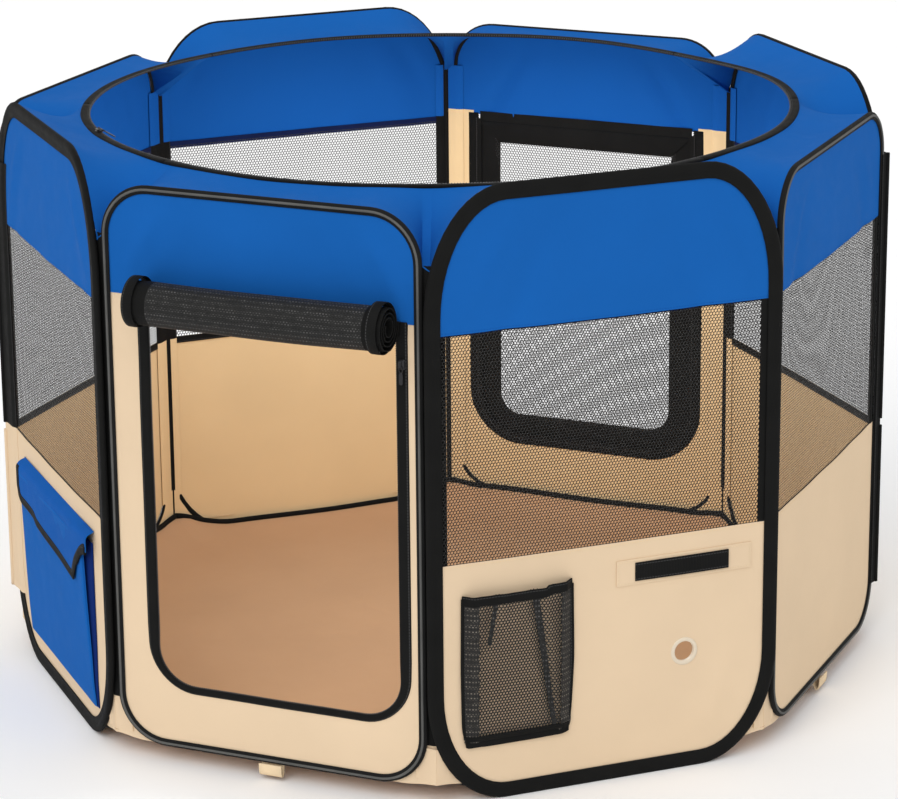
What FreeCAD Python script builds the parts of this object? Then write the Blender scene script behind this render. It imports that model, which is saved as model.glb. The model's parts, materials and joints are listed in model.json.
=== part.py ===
"""Eight-sided folding pet playpen: spring-wire hoops in bound fabric panels, a rolled front door,
a zipped rear door, two outer pockets, a bottle strap with its spout grommet, a roof collar and a floor.

Millimetres, +Z up. The origin is on the ground at the centre of the octagon. -Y points at the corner
between the front door panel (2) and the bottle panel (3), and the fold is mirrored about X = 0 and Y = 0.
"""

import FreeCAD
import Part
import math
import os

from FreeCAD import Matrix, Vector

# Octagon
SIDES = 8
SIDE = 378.0
STEP = 360.0 / SIDES
HALF_TURN = math.radians(STEP / 2)
APOTHEM = SIDE / 2 / math.tan(HALF_TURN)
FIRST_NORMAL = -157.5  # degrees from +X, panel 1's outward direction
BOUND_PANELS = (1, 3, 5, 7)  # hoops in wide black tape; the others have narrow piping
DOOR_PANELS = (2, 6)

# Hoops and what binds them
TAPE_BOTTOM = 0.0
TAPE_TOP = 654.0
TAPE_WIDTH = 17.0
TAPE_CORNER_TOP = (88.0, 135.0)
TAPE_CORNER_BOTTOM = (88.0, 120.0)
PIPING_BOTTOM = 20.0
PIPING_TOP = 631.0
PIPING_WIDTH = 8.0
PIPING_CORNER = (55.0, 55.0)
BINDING_HALF = 3.0  # half the thickness across the panel
BINDING_WALL = 1.0
WIRE_RADIUS = 1.75
TAPE_WIRE_INSET = 3.5
PIPING_WIRE_INSET = 3.2
OVERHANG = 8.5  # a taped hoop reaches this far past its corner line
PIPING_GAP = 10.5  # a piped hoop stops this far short of it
PUSH_GAP = 2.5  # at the two corners that fold outside in, both stop this far short
PUSH_STARTS = (1, 5)  # panels whose first corner is one of those two
PUSH_ENDS = (4, 8)

# Cloth
CLOTH_HALF = 0.8
SEAM_GAP = 0.3
TAPE_CLOTH_INSET = 9.0
PIPING_CLOTH_INSET = 6.0
BLUE_FROM_WINDOW = 504.0
BLUE_FROM_DOOR = 515.0
MESH_FROM = 257.0

# Front doorway and its rolled door
FRONT_DOOR = (55.0, 345.0, 88.0)  # cloth edge: left, right, bottom
FRONT_DOOR_CORNER = 48.0
REAR_DOOR = (42.0, 340.0, 92.0)
REAR_DOOR_CORNER = 62.0
RIM_OUT = 7.0  # rim width over the cloth
RIM_IN = 6.0  # rim width into the doorway
RIM_HALF = 2.4
DOOR_TOP = 511.0
ROLL_RADIUS = 26.0
ROLL_SPAN = (50.0, 352.0)
ROLL_CENTRE = (518.0, 30.5)  # height, distance in front of the panel
TIE_AT = (66.0, 336.0)
TIE_WIDTH = 12.0
TIE_THICK = 1.4

# Rear door flap
FLAP_GAP = 1.5
FLAP_BORDER = 28.0

# Blue side pocket on panel 1
POCKET = (70.0, 335.0, 36.0, 226.0)  # left, right, bottom, mouth
POCKET_FRONT = 11.0
POCKET_WALL = 1.6
POCKET_BACK = 1.1
FLAP_LEFT = 64.0
FLAP_RIGHT = 341.0
FLAP_TOP = 236.0
FLAP_LOW = 184.0
FLAP_TIP = (292.0, 172.0)
FLAP_FRONT = (11.6, 13.2)

# Mesh pocket, bottle strap and grommet on panel 3
MESH_POCKET = (28.0, 150.0, 62.0, 228.0)
MESH_POCKET_FRONT = 12.0
MESH_POCKET_BINDING = 9.0
MESH_POCKET_BINDING_FRONT = 13.4
PATCH = (200.0, 355.0, 214.0, 242.0)
PATCH_THICK = (1.0, 2.0)
STRAP = (229.0, 328.0, 218.0, 238.0)
STRAP_THICK = (2.4, 4.8)
GROMMET_AT = (279.0, 131.0)
GROMMET_BORE = 11.0
GROMMET_BARREL = 12.2
GROMMET_FLANGE = 15.5
GROMMET_HALF = 2.6
GROMMET_HOLE = 12.6

# Zip sliders: width, height and thickness of the body, then the pull
SLIDER = (8.0, 13.0, 3.0)
PULL = (5.0, 24.0, 1.2)
SLIDER_STAND_OFF = 3.0
FRONT_SLIDER_AT = (346.5, 474.0)
REAR_SLIDER_AT = (348.0, 484.0)

# Roof collar and floor
COLLAR_RADIUS = 395.0
COLLAR_LOW = 632.0
COLLAR_THICK = 1.6
COLLAR_OUTER = APOTHEM - 3.8
ZIP_RADIUS = 388.0
COLLAR_SLIDER_ANGLE = 200.5
FLOOR_LOW = 0.0
FLOOR_THICK = 2.0
FLOOR_APOTHEM = APOTHEM - 4.0

# Ground tabs under the piped panels
TAB = (176.0, 202.0, 3.0, 30.0)
TAB_DEPTH = (3.4, 5.4)

KAPPA = 0.5523  # control length of a Bezier quarter, as a share of its radius


def panel_matrix(panel):
    """Drawing frame (along the panel, up, outwards) to the part's frame, for one panel."""
    normal_angle = math.radians(FIRST_NORMAL + STEP * (panel - 1))
    out = Vector(math.cos(normal_angle), math.sin(normal_angle), 0)
    along = Vector(-out.y, out.x, 0)
    start = out * APOTHEM - along * (SIDE / 2)
    return Matrix(
        along.x, 0, out.x, start.x,
        along.y, 0, out.y, start.y,
        0, 1, 0, 0,
        0, 0, 0, 1,
    )  # fmt: skip


def placed(shape, panel):
    """The shape moved from the drawing frame onto its panel."""
    moved = shape.copy()
    moved.transformShape(panel_matrix(panel))
    return moved


def save(shape, node):
    """Writes one sub-part, after checking that it is made of sound solids."""
    if not shape.isValid() or not shape.Solids:
        raise ValueError(f"{node} is not a valid solid")
    shape.exportStep(f"parts/{node}.step")
    print(f"{node}: {len(shape.Solids)} solid(s), {shape.Volume:.0f} mm3")


def hoop_span(panel):
    """The first and last place along the panel that its hoop's binding reaches."""
    if panel in BOUND_PANELS:
        start = PUSH_GAP if panel in PUSH_STARTS else -OVERHANG
        return start, SIDE + OVERHANG
    end = SIDE - (PUSH_GAP if panel in PUSH_ENDS else PIPING_GAP)
    return PIPING_GAP, end


def rounded_wire(left, right, low, high, bottom, top, level=0.0):
    """A rectangle with elliptical corners: bottom and top are each (half-width, half-height)."""

    def point(x, y):
        return Vector(x, y, level)

    def corner(start, centre, end):
        first = start + (centre - start) * KAPPA
        second = end + (centre - end) * KAPPA
        curve = Part.BezierCurve()
        curve.setPoles([start, first, second, end])
        return curve.toShape()

    (bx, by), (tx, ty) = bottom, top
    lower_left = (point(left, low + by), point(left, low), point(left + bx, low))
    lower_right = (point(right - bx, low), point(right, low), point(right, low + by))
    upper_right = (point(right, high - ty), point(right, high), point(right - tx, high))
    upper_left = (point(left + tx, high), point(left, high), point(left, high - ty))
    edges = [corner(*lower_left)]
    edges.append(Part.LineSegment(lower_left[2], lower_right[0]).toShape())
    edges.append(corner(*lower_right))
    edges.append(Part.LineSegment(lower_right[2], upper_right[0]).toShape())
    edges.append(corner(*upper_right))
    edges.append(Part.LineSegment(upper_right[2], upper_left[0]).toShape())
    edges.append(corner(*upper_left))
    edges.append(Part.LineSegment(upper_left[2], lower_left[0]).toShape())
    return Part.Wire(edges)


def hoop_wire_outline(panel, inset, level=0.0):
    """The outline of a panel's hoop, drawn in by inset."""
    left, right = hoop_span(panel)
    if panel in BOUND_PANELS:
        low, high, bottom, top = TAPE_BOTTOM, TAPE_TOP, TAPE_CORNER_BOTTOM, TAPE_CORNER_TOP
    else:
        low, high, bottom, top = PIPING_BOTTOM, PIPING_TOP, PIPING_CORNER, PIPING_CORNER
    bottom, top = ([r - inset for r in corner] for corner in (bottom, top))
    return rounded_wire(
        left + inset, right - inset, low + inset, high - inset, bottom, top, level
    )


def plate(wire, thickness):
    """A flat plate on a closed wire, thickness deep along the drawing frame's outward axis."""
    return Part.Face(wire).extrude(Vector(0, 0, thickness))


def block(left, right, low, high, back, front):
    """A box in the drawing frame."""
    return Part.makeBox(right - left, high - low, front - back, Vector(left, low, back))


def hoop_binding(panel):
    """The tape or piping of one hoop: a channel that opens towards the panel's cloth."""
    width = TAPE_WIDTH if panel in BOUND_PANELS else PIPING_WIDTH
    slot_half = BINDING_HALF - BINDING_WALL
    outside = plate(hoop_wire_outline(panel, 0, -BINDING_HALF), 2 * BINDING_HALF)
    inside = plate(hoop_wire_outline(panel, width, -BINDING_HALF), 2 * BINDING_HALF)
    slot = plate(hoop_wire_outline(panel, BINDING_WALL, -slot_half), 2 * slot_half)
    return outside.cut(inside).cut(slot)


def hoop_wire(panel):
    """The sprung steel wire inside the binding."""
    inset = TAPE_WIRE_INSET if panel in BOUND_PANELS else PIPING_WIRE_INSET
    path = hoop_wire_outline(panel, inset)
    down_left_side = path.Edges[-1]
    start = down_left_side.Vertexes[0].Point
    ring = Part.Circle(start, Vector(0, -1, 0), WIRE_RADIUS)
    path = Part.Wire([down_left_side] + path.Edges[:-1])
    rod = path.makePipeShell([Part.Wire(ring.toShape())], True, False)
    expected = math.pi * WIRE_RADIUS**2 * path.Length
    if abs(rod.Volume - expected) > 0.02 * expected:
        raise ValueError(f"hoop wire {panel} came out with volume {rod.Volume:.0f}")
    return rod


def cloth(panel):
    """The whole flat cloth of a panel, whose edge sits in the binding."""
    inset = TAPE_CLOTH_INSET if panel in BOUND_PANELS else PIPING_CLOTH_INSET
    return plate(hoop_wire_outline(panel, inset, -CLOTH_HALF), 2 * CLOTH_HALF)


def cloth_between(panel, low, high):
    """The part of a panel's cloth between two seams."""
    band = block(-SIDE, 2 * SIDE, low, high, -CLOTH_HALF * 2, CLOTH_HALF * 2)
    return cloth(panel).common(band)


def doorway(edges, corner, grow, back, front):
    """A door-shaped plate: straight at the top, rounded at the bottom, grown outwards by grow."""
    left, right, low = edges
    wire = rounded_wire(
        left - grow,
        right + grow,
        low - grow,
        DOOR_TOP + 2 * corner,
        (corner + grow, corner + grow),
        (corner / 2, corner / 2),
        back,
    )
    shape = plate(wire, front - back)
    return shape.common(block(-SIDE, 2 * SIDE, low - grow, DOOR_TOP, back, front))


def door_rim(edges, corner):
    """Binding folded over the edge of a doorway, open at the top, with a slot for the cloth."""
    outer = doorway(edges, corner, RIM_OUT, -RIM_HALF, RIM_HALF)
    inner = doorway(edges, corner, -RIM_IN, -RIM_HALF, RIM_HALF)
    slot_half = CLOTH_HALF + SEAM_GAP
    slot = doorway(edges, corner, RIM_OUT, -slot_half, slot_half)
    slot = slot.cut(doorway(edges, corner, -SEAM_GAP, -slot_half, slot_half))
    return outer.cut(inner).cut(slot)


def rear_door_outline(inset, half):
    """The rear door flap, drawn in by inset, as a plate of that half thickness."""
    shape = doorway(REAR_DOOR, REAR_DOOR_CORNER, -RIM_IN - FLAP_GAP - inset, -half, half)
    top = DOOR_TOP - FLAP_GAP - inset
    return shape.common(block(0, SIDE, 0, top, -half, half))


def rear_door_border():
    """The wide black border of the rear door, slotted for its mesh."""
    border = rear_door_outline(0, RIM_HALF).cut(rear_door_outline(FLAP_BORDER, RIM_HALF))
    slot_half = CLOTH_HALF + SEAM_GAP
    slot = rear_door_outline(FLAP_BORDER - 2 * RIM_IN, slot_half)
    return border.cut(slot)


def rolled_door():
    """The front door's mesh, rolled up and stood in front of the seam above the doorway."""
    height, out = ROLL_CENTRE
    length = ROLL_SPAN[1] - ROLL_SPAN[0]
    start = Vector(ROLL_SPAN[0], height, out)
    return Part.makeCylinder(ROLL_RADIUS, length, start, Vector(1, 0, 0))


def roll_ties():
    """Two bands that hold the rolled door."""
    height, out = ROLL_CENTRE
    inner = ROLL_RADIUS + SEAM_GAP
    bands = []
    for at in TIE_AT:
        start = Vector(at - TIE_WIDTH / 2, height, out)
        band = Part.makeCylinder(inner + TIE_THICK, TIE_WIDTH, start, Vector(1, 0, 0))
        bands.append(band.cut(Part.makeCylinder(inner, TIE_WIDTH, start, Vector(1, 0, 0))))
    return Part.makeCompound(bands)


def side_pocket():
    """The blue pouch: a front, two sides and a bottom, open at the top."""
    left, right, low, mouth = POCKET
    outside = block(left, right, low, mouth, POCKET_BACK, POCKET_FRONT)
    inside = block(
        left + POCKET_WALL,
        right - POCKET_WALL,
        low + POCKET_WALL,
        mouth,
        POCKET_BACK,
        POCKET_FRONT - POCKET_WALL,
    )
    return outside.cut(inside)


def side_pocket_flap():
    """The pouch's flap, with its low point towards the right."""
    back, front = FLAP_FRONT
    corners = [
        (FLAP_LEFT, FLAP_TOP),
        (FLAP_LEFT, FLAP_LOW),
        FLAP_TIP,
        (FLAP_RIGHT, FLAP_LOW),
        (FLAP_RIGHT, FLAP_TOP),
    ]
    points = [Vector(x, y, back) for x, y in corners]
    return plate(Part.makePolygon(points + points[:1]), front - back)


def mesh_pocket():
    """The open-topped mesh pouch, and the binding round its front as a second solid."""
    left, right, low, mouth = MESH_POCKET
    wall = POCKET_WALL
    front = MESH_POCKET_FRONT
    pouch = block(left, right, low, mouth, POCKET_BACK, front)
    pouch = pouch.cut(
        block(left + wall, right - wall, low + wall, mouth, POCKET_BACK, front - wall)
    )
    width = MESH_POCKET_BINDING
    frame = block(left, right, low, mouth, front, MESH_POCKET_BINDING_FRONT)
    frame = frame.cut(
        block(
            left + width,
            right - width,
            low + width,
            mouth - width,
            front,
            MESH_POCKET_BINDING_FRONT,
        )
    )
    return Part.makeCompound([pouch, frame])


def disc(radius, back, front):
    """A round plate at the grommet, facing outwards."""
    centre = Vector(GROMMET_AT[0], GROMMET_AT[1], back)
    return Part.makeCylinder(radius, front - back, centre)


def spout_grommet():
    """A two-flanged eyelet through the wall."""
    half = GROMMET_HALF
    face = CLOTH_HALF + SEAM_GAP / 2
    eyelet = disc(GROMMET_BARREL, -half, half)
    eyelet = eyelet.fuse([disc(GROMMET_FLANGE, face, half), disc(GROMMET_FLANGE, -half, -face)])
    return eyelet.cut(disc(GROMMET_BORE, -half, half)).removeSplitter()


def zip_slider(centre, base):
    """A zip slider's body with its pull hanging from it, standing out from base."""
    across, up = centre
    width, height, thick = SLIDER
    body = block(
        across - width / 2, across + width / 2, up - height / 2, up + height / 2, base, base + thick
    )
    pull_width, pull_length, pull_thick = PULL
    front = base + thick + pull_thick
    pull = block(
        across - pull_width / 2,
        across + pull_width / 2,
        up - pull_length,
        up + height / 4,
        base + thick,
        front,
    )
    return body.fuse(pull).removeSplitter()


def octagon_plate(apothem, low, thickness):
    """A level octagonal plate whose corners are on the panels' corner lines."""
    radius = apothem / math.cos(HALF_TURN)
    points = []
    for i in range(SIDES):
        angle = math.radians(STEP * i)
        points.append(Vector(radius * math.cos(angle), radius * math.sin(angle), low))
    return Part.Face(Part.makePolygon(points + points[:1])).extrude(Vector(0, 0, thickness))


def roof_collar():
    """The level fabric ring round the open top."""
    ring = octagon_plate(COLLAR_OUTER, COLLAR_LOW, COLLAR_THICK)
    return ring.cut(
        Part.makeCylinder(COLLAR_RADIUS, COLLAR_THICK, Vector(0, 0, COLLAR_LOW))
    )


def collar_zip_tape():
    """The zip tape sewn round the collar's inner edge."""
    start = Vector(0, 0, COLLAR_LOW)
    ring = Part.makeCylinder(COLLAR_RADIUS, COLLAR_THICK, start)
    return ring.cut(Part.makeCylinder(ZIP_RADIUS, COLLAR_THICK, start))


def collar_zip_slider():
    """The slider of the collar's zip, lying on its tape."""
    width, length, thick = SLIDER
    radius = (ZIP_RADIUS + COLLAR_RADIUS) / 2
    low = COLLAR_LOW + COLLAR_THICK + SEAM_GAP
    body = Part.makeBox(width, length, thick, Vector(radius - width / 2, -length / 2, low))
    pull_width, pull_length, pull_thick = PULL
    corner = Vector(radius - pull_width / 2, -length / 4, low + thick)
    pull = Part.makeBox(pull_width, pull_length, pull_thick, corner)
    slider = body.fuse(pull).removeSplitter()
    slider.rotate(Vector(0, 0, 0), Vector(0, 0, 1), COLLAR_SLIDER_ANGLE)
    return slider


def make_panel(panel):
    """Everything that all panels share, and a window or a doorway."""
    name = "edge_tape" if panel in BOUND_PANELS else "edge_piping"
    save(placed(hoop_binding(panel), panel), f"{name}_{panel}")
    save(placed(hoop_wire(panel), panel), f"hoop_wire_{panel}")
    blue_from = BLUE_FROM_DOOR if panel in DOOR_PANELS else BLUE_FROM_WINDOW
    blue = cloth_between(panel, blue_from + SEAM_GAP, TAPE_TOP)
    save(placed(blue, panel), f"blue_band_{panel}")
    if panel in DOOR_PANELS:
        front = panel == DOOR_PANELS[0]
        edges = FRONT_DOOR if front else REAR_DOOR
        corner = FRONT_DOOR_CORNER if front else REAR_DOOR_CORNER
        wall = cloth_between(panel, TAPE_BOTTOM, DOOR_TOP)
        wall = wall.cut(doorway(edges, corner, 0, -CLOTH_HALF * 2, CLOTH_HALF * 2))
        rim_name = "door_rim_front" if front else "door_rim_rear"
        save(placed(door_rim(edges, corner), panel), rim_name)
    else:
        wall = cloth_between(panel, TAPE_BOTTOM, MESH_FROM)
        mesh = cloth_between(panel, MESH_FROM + SEAM_GAP, BLUE_FROM_WINDOW)
        save(placed(mesh, panel), f"mesh_window_{panel}")
    if panel == 3:
        wall = wall.cut(disc(GROMMET_HOLE, -CLOTH_HALF * 2, CLOTH_HALF * 2))
    save(placed(wall, panel), f"wall_{panel}")
    if panel not in BOUND_PANELS:
        save(placed(block(*TAB, *TAB_DEPTH), panel), f"ground_tab_{panel}")


def main():
    os.makedirs("parts", exist_ok=True)
    for panel in range(1, SIDES + 1):
        make_panel(panel)
    save(placed(side_pocket(), 1), "side_pocket")
    save(placed(side_pocket_flap(), 1), "side_pocket_flap")
    save(placed(rolled_door(), 2), "door_roll")
    save(placed(roll_ties(), 2), "door_roll_ties")
    save(placed(zip_slider(FRONT_SLIDER_AT, SLIDER_STAND_OFF), 2), "front_zip_slider")
    save(placed(mesh_pocket(), 3), "mesh_pocket")
    save(placed(block(*PATCH, *PATCH_THICK), 3), "strap_patch")
    save(placed(block(*STRAP, *STRAP_THICK), 3), "bottle_strap")
    save(placed(spout_grommet(), 3), "spout_grommet")
    save(placed(rear_door_outline(FLAP_BORDER - RIM_IN, CLOTH_HALF), 6), "rear_door_mesh")
    save(placed(rear_door_border(), 6), "rear_door_border")
    save(placed(zip_slider(REAR_SLIDER_AT, SLIDER_STAND_OFF), 6), "rear_zip_slider")
    save(roof_collar(), "roof_collar")
    save(collar_zip_tape(), "collar_zip_tape")
    save(collar_zip_slider(), "collar_zip_slider")
    save(octagon_plate(FLOOR_APOTHEM, FLOOR_LOW, FLOOR_THICK), "floor_sheet")


main()
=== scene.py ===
import json
import math

import bmesh
import bpy
import numpy as np
from mathutils import Matrix, Vector


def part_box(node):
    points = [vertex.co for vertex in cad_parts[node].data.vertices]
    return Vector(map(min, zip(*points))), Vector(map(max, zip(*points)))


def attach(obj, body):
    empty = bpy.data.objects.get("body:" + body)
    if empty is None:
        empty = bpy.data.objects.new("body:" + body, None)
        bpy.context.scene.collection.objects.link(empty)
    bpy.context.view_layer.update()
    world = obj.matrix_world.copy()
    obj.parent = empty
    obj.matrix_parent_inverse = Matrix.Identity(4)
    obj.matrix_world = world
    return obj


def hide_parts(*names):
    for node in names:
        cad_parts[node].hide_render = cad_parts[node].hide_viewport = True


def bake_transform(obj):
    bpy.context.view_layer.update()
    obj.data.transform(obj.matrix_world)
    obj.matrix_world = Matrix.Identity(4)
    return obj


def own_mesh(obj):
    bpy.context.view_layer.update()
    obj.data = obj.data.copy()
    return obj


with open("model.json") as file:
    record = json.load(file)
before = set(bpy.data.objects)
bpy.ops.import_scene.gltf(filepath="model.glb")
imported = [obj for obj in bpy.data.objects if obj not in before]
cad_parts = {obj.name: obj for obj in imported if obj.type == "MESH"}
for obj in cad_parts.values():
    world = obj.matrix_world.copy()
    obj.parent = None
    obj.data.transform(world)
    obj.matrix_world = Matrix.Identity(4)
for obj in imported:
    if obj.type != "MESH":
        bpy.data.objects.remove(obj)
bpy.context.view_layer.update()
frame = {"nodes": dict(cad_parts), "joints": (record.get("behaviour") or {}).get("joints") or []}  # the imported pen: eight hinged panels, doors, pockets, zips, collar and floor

MM = 0.001

# ---- the octagon, from the frame
SIDES = 8
HALF_TURN = math.pi / SIDES
FIRST_NORMAL = -157.5  # degrees from +X, panel 1's outward direction
FLOOR_CLEARANCE = 4.0  # from the panels' middle plane to the floor sheet's edge
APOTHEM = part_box("floor_sheet")[1].x / MM * math.cos(HALF_TURN) + FLOOR_CLEARANCE
SIDE = 2 * APOTHEM * math.tan(HALF_TURN)
RADIUS = APOTHEM / math.cos(HALF_TURN)
TAPED = (1, 3, 5, 7)
DOORS = {2: "front", 6: "rear"}
WINDOWS = (1, 3, 4, 5, 7, 8)

# ---- driving dimensions, millimetres
TAPE_CORNERS = ((88.0, 120.0), (88.0, 135.0))  # bottom, top: half width, half height
PIPING_CORNERS = ((55.0, 55.0), (55.0, 55.0))
TAPE_WIDTH = 16.5
PIPING_WIDTH = 8.0
TAPE_CLOTH_INSET = 5.8  # the cloth's edge, between the two leaves of the tape
PIPING_CLOTH_INSET = 5.2
CLOTH_THICK = 0.9
MESH_THICK = 0.75
HEM = 5.0  # one cloth's overlap on the next
SEAM_TAPE = 8.0
STITCH = 3.2
HOLE_PITCH = 3.5
CLOTH_LIFT = 0.35  # the outside cloth's middle, out from the hoop's plane
MESH_LIFT = -0.5  # the window mesh, which is sewn behind the cloth
INNER_LIFT = -1.5  # the bindings over the seams inside
PATCH_LIFT = 1.5
PATCH_SEAM = 2.2
TOOTH_PITCH = 2.4
TOOTH_TURN = 0.0076  # the same on the ring, in radians
EYELET_HOLE = 12.6  # radius of the hole in the wall behind the eyelet
ROLL_TIES = (66.0, 336.0)  # where the ties go round the rolled door
DOOR_CORNER = {2: 48.0, 6: 62.0}
RIM_OUT = 7.0
RIM_IN = 6.0
FLAP_BORDER = 28.0
FLAP_GAP = 1.5
SIDE_BAND = 9.0
COLLAR_V = 568.0  # the height at which the collar's points end between two hoops
COLLAR_SAG = 5.0
ZIP_ENDS = math.radians(193.0)  # where on the ring the collar's zip starts and ends
CORNER_LIFT = 4.0  # how much higher the floor's seam and the gussets are at a corner
CORNER_REACH = 40.0  # how far from the corner that rise starts
GUSSET_TOP = 64.0
GUSSET_LOW = 23.0
GUSSET_INSET = 2.5
FLOOR_CURL = 30.0  # how far in the floor's edge curls up to its seam
FLOOR_MID = 1.3
FLOOR_EDGE = {True: 9.0, False: 24.0}  # height of the floor's seam at a taped or piped panel
UP = np.array([0, 0, 1.0])


def corner_axis(vertex):
    """Distance from the centre of the hinge line at a corner: 0 is at +X, and they go anticlockwise."""
    for joint in frame["joints"]:
        if joint["name"].startswith("fold_"):
            x, y = joint["pos_m"][0] / MM, joint["pos_m"][1] / MM
            if round(math.degrees(math.atan2(y, x)) / 45.0) % SIDES == vertex:
                return math.hypot(x, y)
    return RADIUS


def axes(panel):
    """A panel's outward and along directions."""
    angle = math.radians(FIRST_NORMAL) + 2 * HALF_TURN * (panel - 1)
    out = np.array([math.cos(angle), math.sin(angle), 0.0])
    return out, np.array([-out[1], out[0], 0.0])


def place(panel, points):
    """Points as (along the panel, up, outwards) in millimetres, moved to the row frame."""
    out, along = axes(panel)
    points = np.asarray(points, float)
    s, z, n = points[..., 0:1], points[..., 1:2], points[..., 2:3]
    return out * (APOTHEM + n) + along * (s - SIDE / 2) + UP * z


def local(panel, points):
    """The other way: row frame points in millimetres as (along, up, outwards)."""
    out, along = axes(panel)
    points = np.asarray(points, float)
    return np.stack(
        [points @ along + SIDE / 2, points[..., 2], points @ out - APOTHEM], axis=-1
    )


def extent(node, panel):
    """(lowest, highest) corner of a CAD node in a panel's own directions, in millimetres."""
    mesh = frame["nodes"][node].data
    points = np.array([v.co for v in mesh.vertices], float) / MM
    points = local(panel, points)
    return points.min(axis=0), points.max(axis=0)


def to_metres(point):
    return Vector([c * MM for c in point])


def joint_named(name):
    return next(j for j in frame["joints"] if j["name"] == name)


def new_object(name, data):
    obj = bpy.data.objects.new(name, data)
    bpy.context.scene.collection.objects.link(obj)
    return obj


# ---- camera and light
CAMERA_LENS = 139.26
CAMERA_TURN = (0.9187, 17.1368, -0.5238)  # azimuth, elevation and roll, degrees
CAMERA_DISTANCE = 3.969
CAMERA_TARGET = (0.0082, 0.288)  # right of the axis, and height, metres
KEY_FROM = (-0.24, -0.68, 0.72)
KEY_STRENGTH = 1.02
FILL_POWER = 5.0
WORLD_STRENGTH = 0.82
STUDIO_RADIUS = 14.0


def make_camera():
    azimuth, elevation, roll = (math.radians(a) for a in CAMERA_TURN)
    back = Vector(
        (
            math.sin(azimuth) * math.cos(elevation),
            -math.cos(azimuth) * math.cos(elevation),
            math.sin(elevation),
        )
    )
    level = Vector((math.cos(azimuth), math.sin(azimuth), 0))
    upright = back.cross(level)
    right = level * math.cos(roll) + upright * math.sin(roll)
    up = upright * math.cos(roll) - level * math.sin(roll)
    data = bpy.data.cameras.new("camera")
    data.lens = CAMERA_LENS
    data.sensor_width = 36.0
    data.clip_end = 100.0
    camera = new_object("camera", data)
    camera.matrix_world = Matrix((right, up, back)).transposed().to_4x4()
    target = level * CAMERA_TARGET[0] + Vector((0, 0, CAMERA_TARGET[1]))
    camera.location = target + back * CAMERA_DISTANCE
    bpy.context.scene.camera = camera


def make_studio():
    world = bpy.data.worlds.new("studio")
    world.use_nodes = True
    background = world.node_tree.nodes["Background"]
    background.inputs["Color"].default_value = (1, 1, 1, 1)
    background.inputs["Strength"].default_value = WORLD_STRENGTH
    bpy.context.scene.world = world
    bpy.context.scene.view_settings.view_transform = "Standard"
    data = bpy.data.lights.new("soft_key", "SUN")
    data.energy = KEY_STRENGTH
    data.angle = math.radians(40)
    key = new_object("soft_key", data)
    key.rotation_euler = (-Vector(KEY_FROM)).to_track_quat("-Z", "Y").to_euler()
    data = bpy.data.lights.new("inside_fill", "POINT")
    data.energy = FILL_POWER
    data.shadow_soft_size = 0.16
    fill = new_object("inside_fill", data)
    fill.location = (0, 0, 0.5)
    mesh = bpy.data.meshes.new("studio_floor")
    builder = bmesh.new()
    bmesh.ops.create_circle(builder, cap_ends=True, segments=96, radius=STUDIO_RADIUS)
    builder.to_mesh(mesh)
    builder.free()
    floor = new_object("studio_floor", mesh)
    paint = Nodes("studio_floor")
    tone = paint.mix(paint.noise(1.5, 2.0), (0.97, 0.97, 0.97, 1), (0.99, 0.99, 0.99, 1))
    paint.set(base=tone, rough=0.9)
    mesh.materials.append(paint.material)


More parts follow.
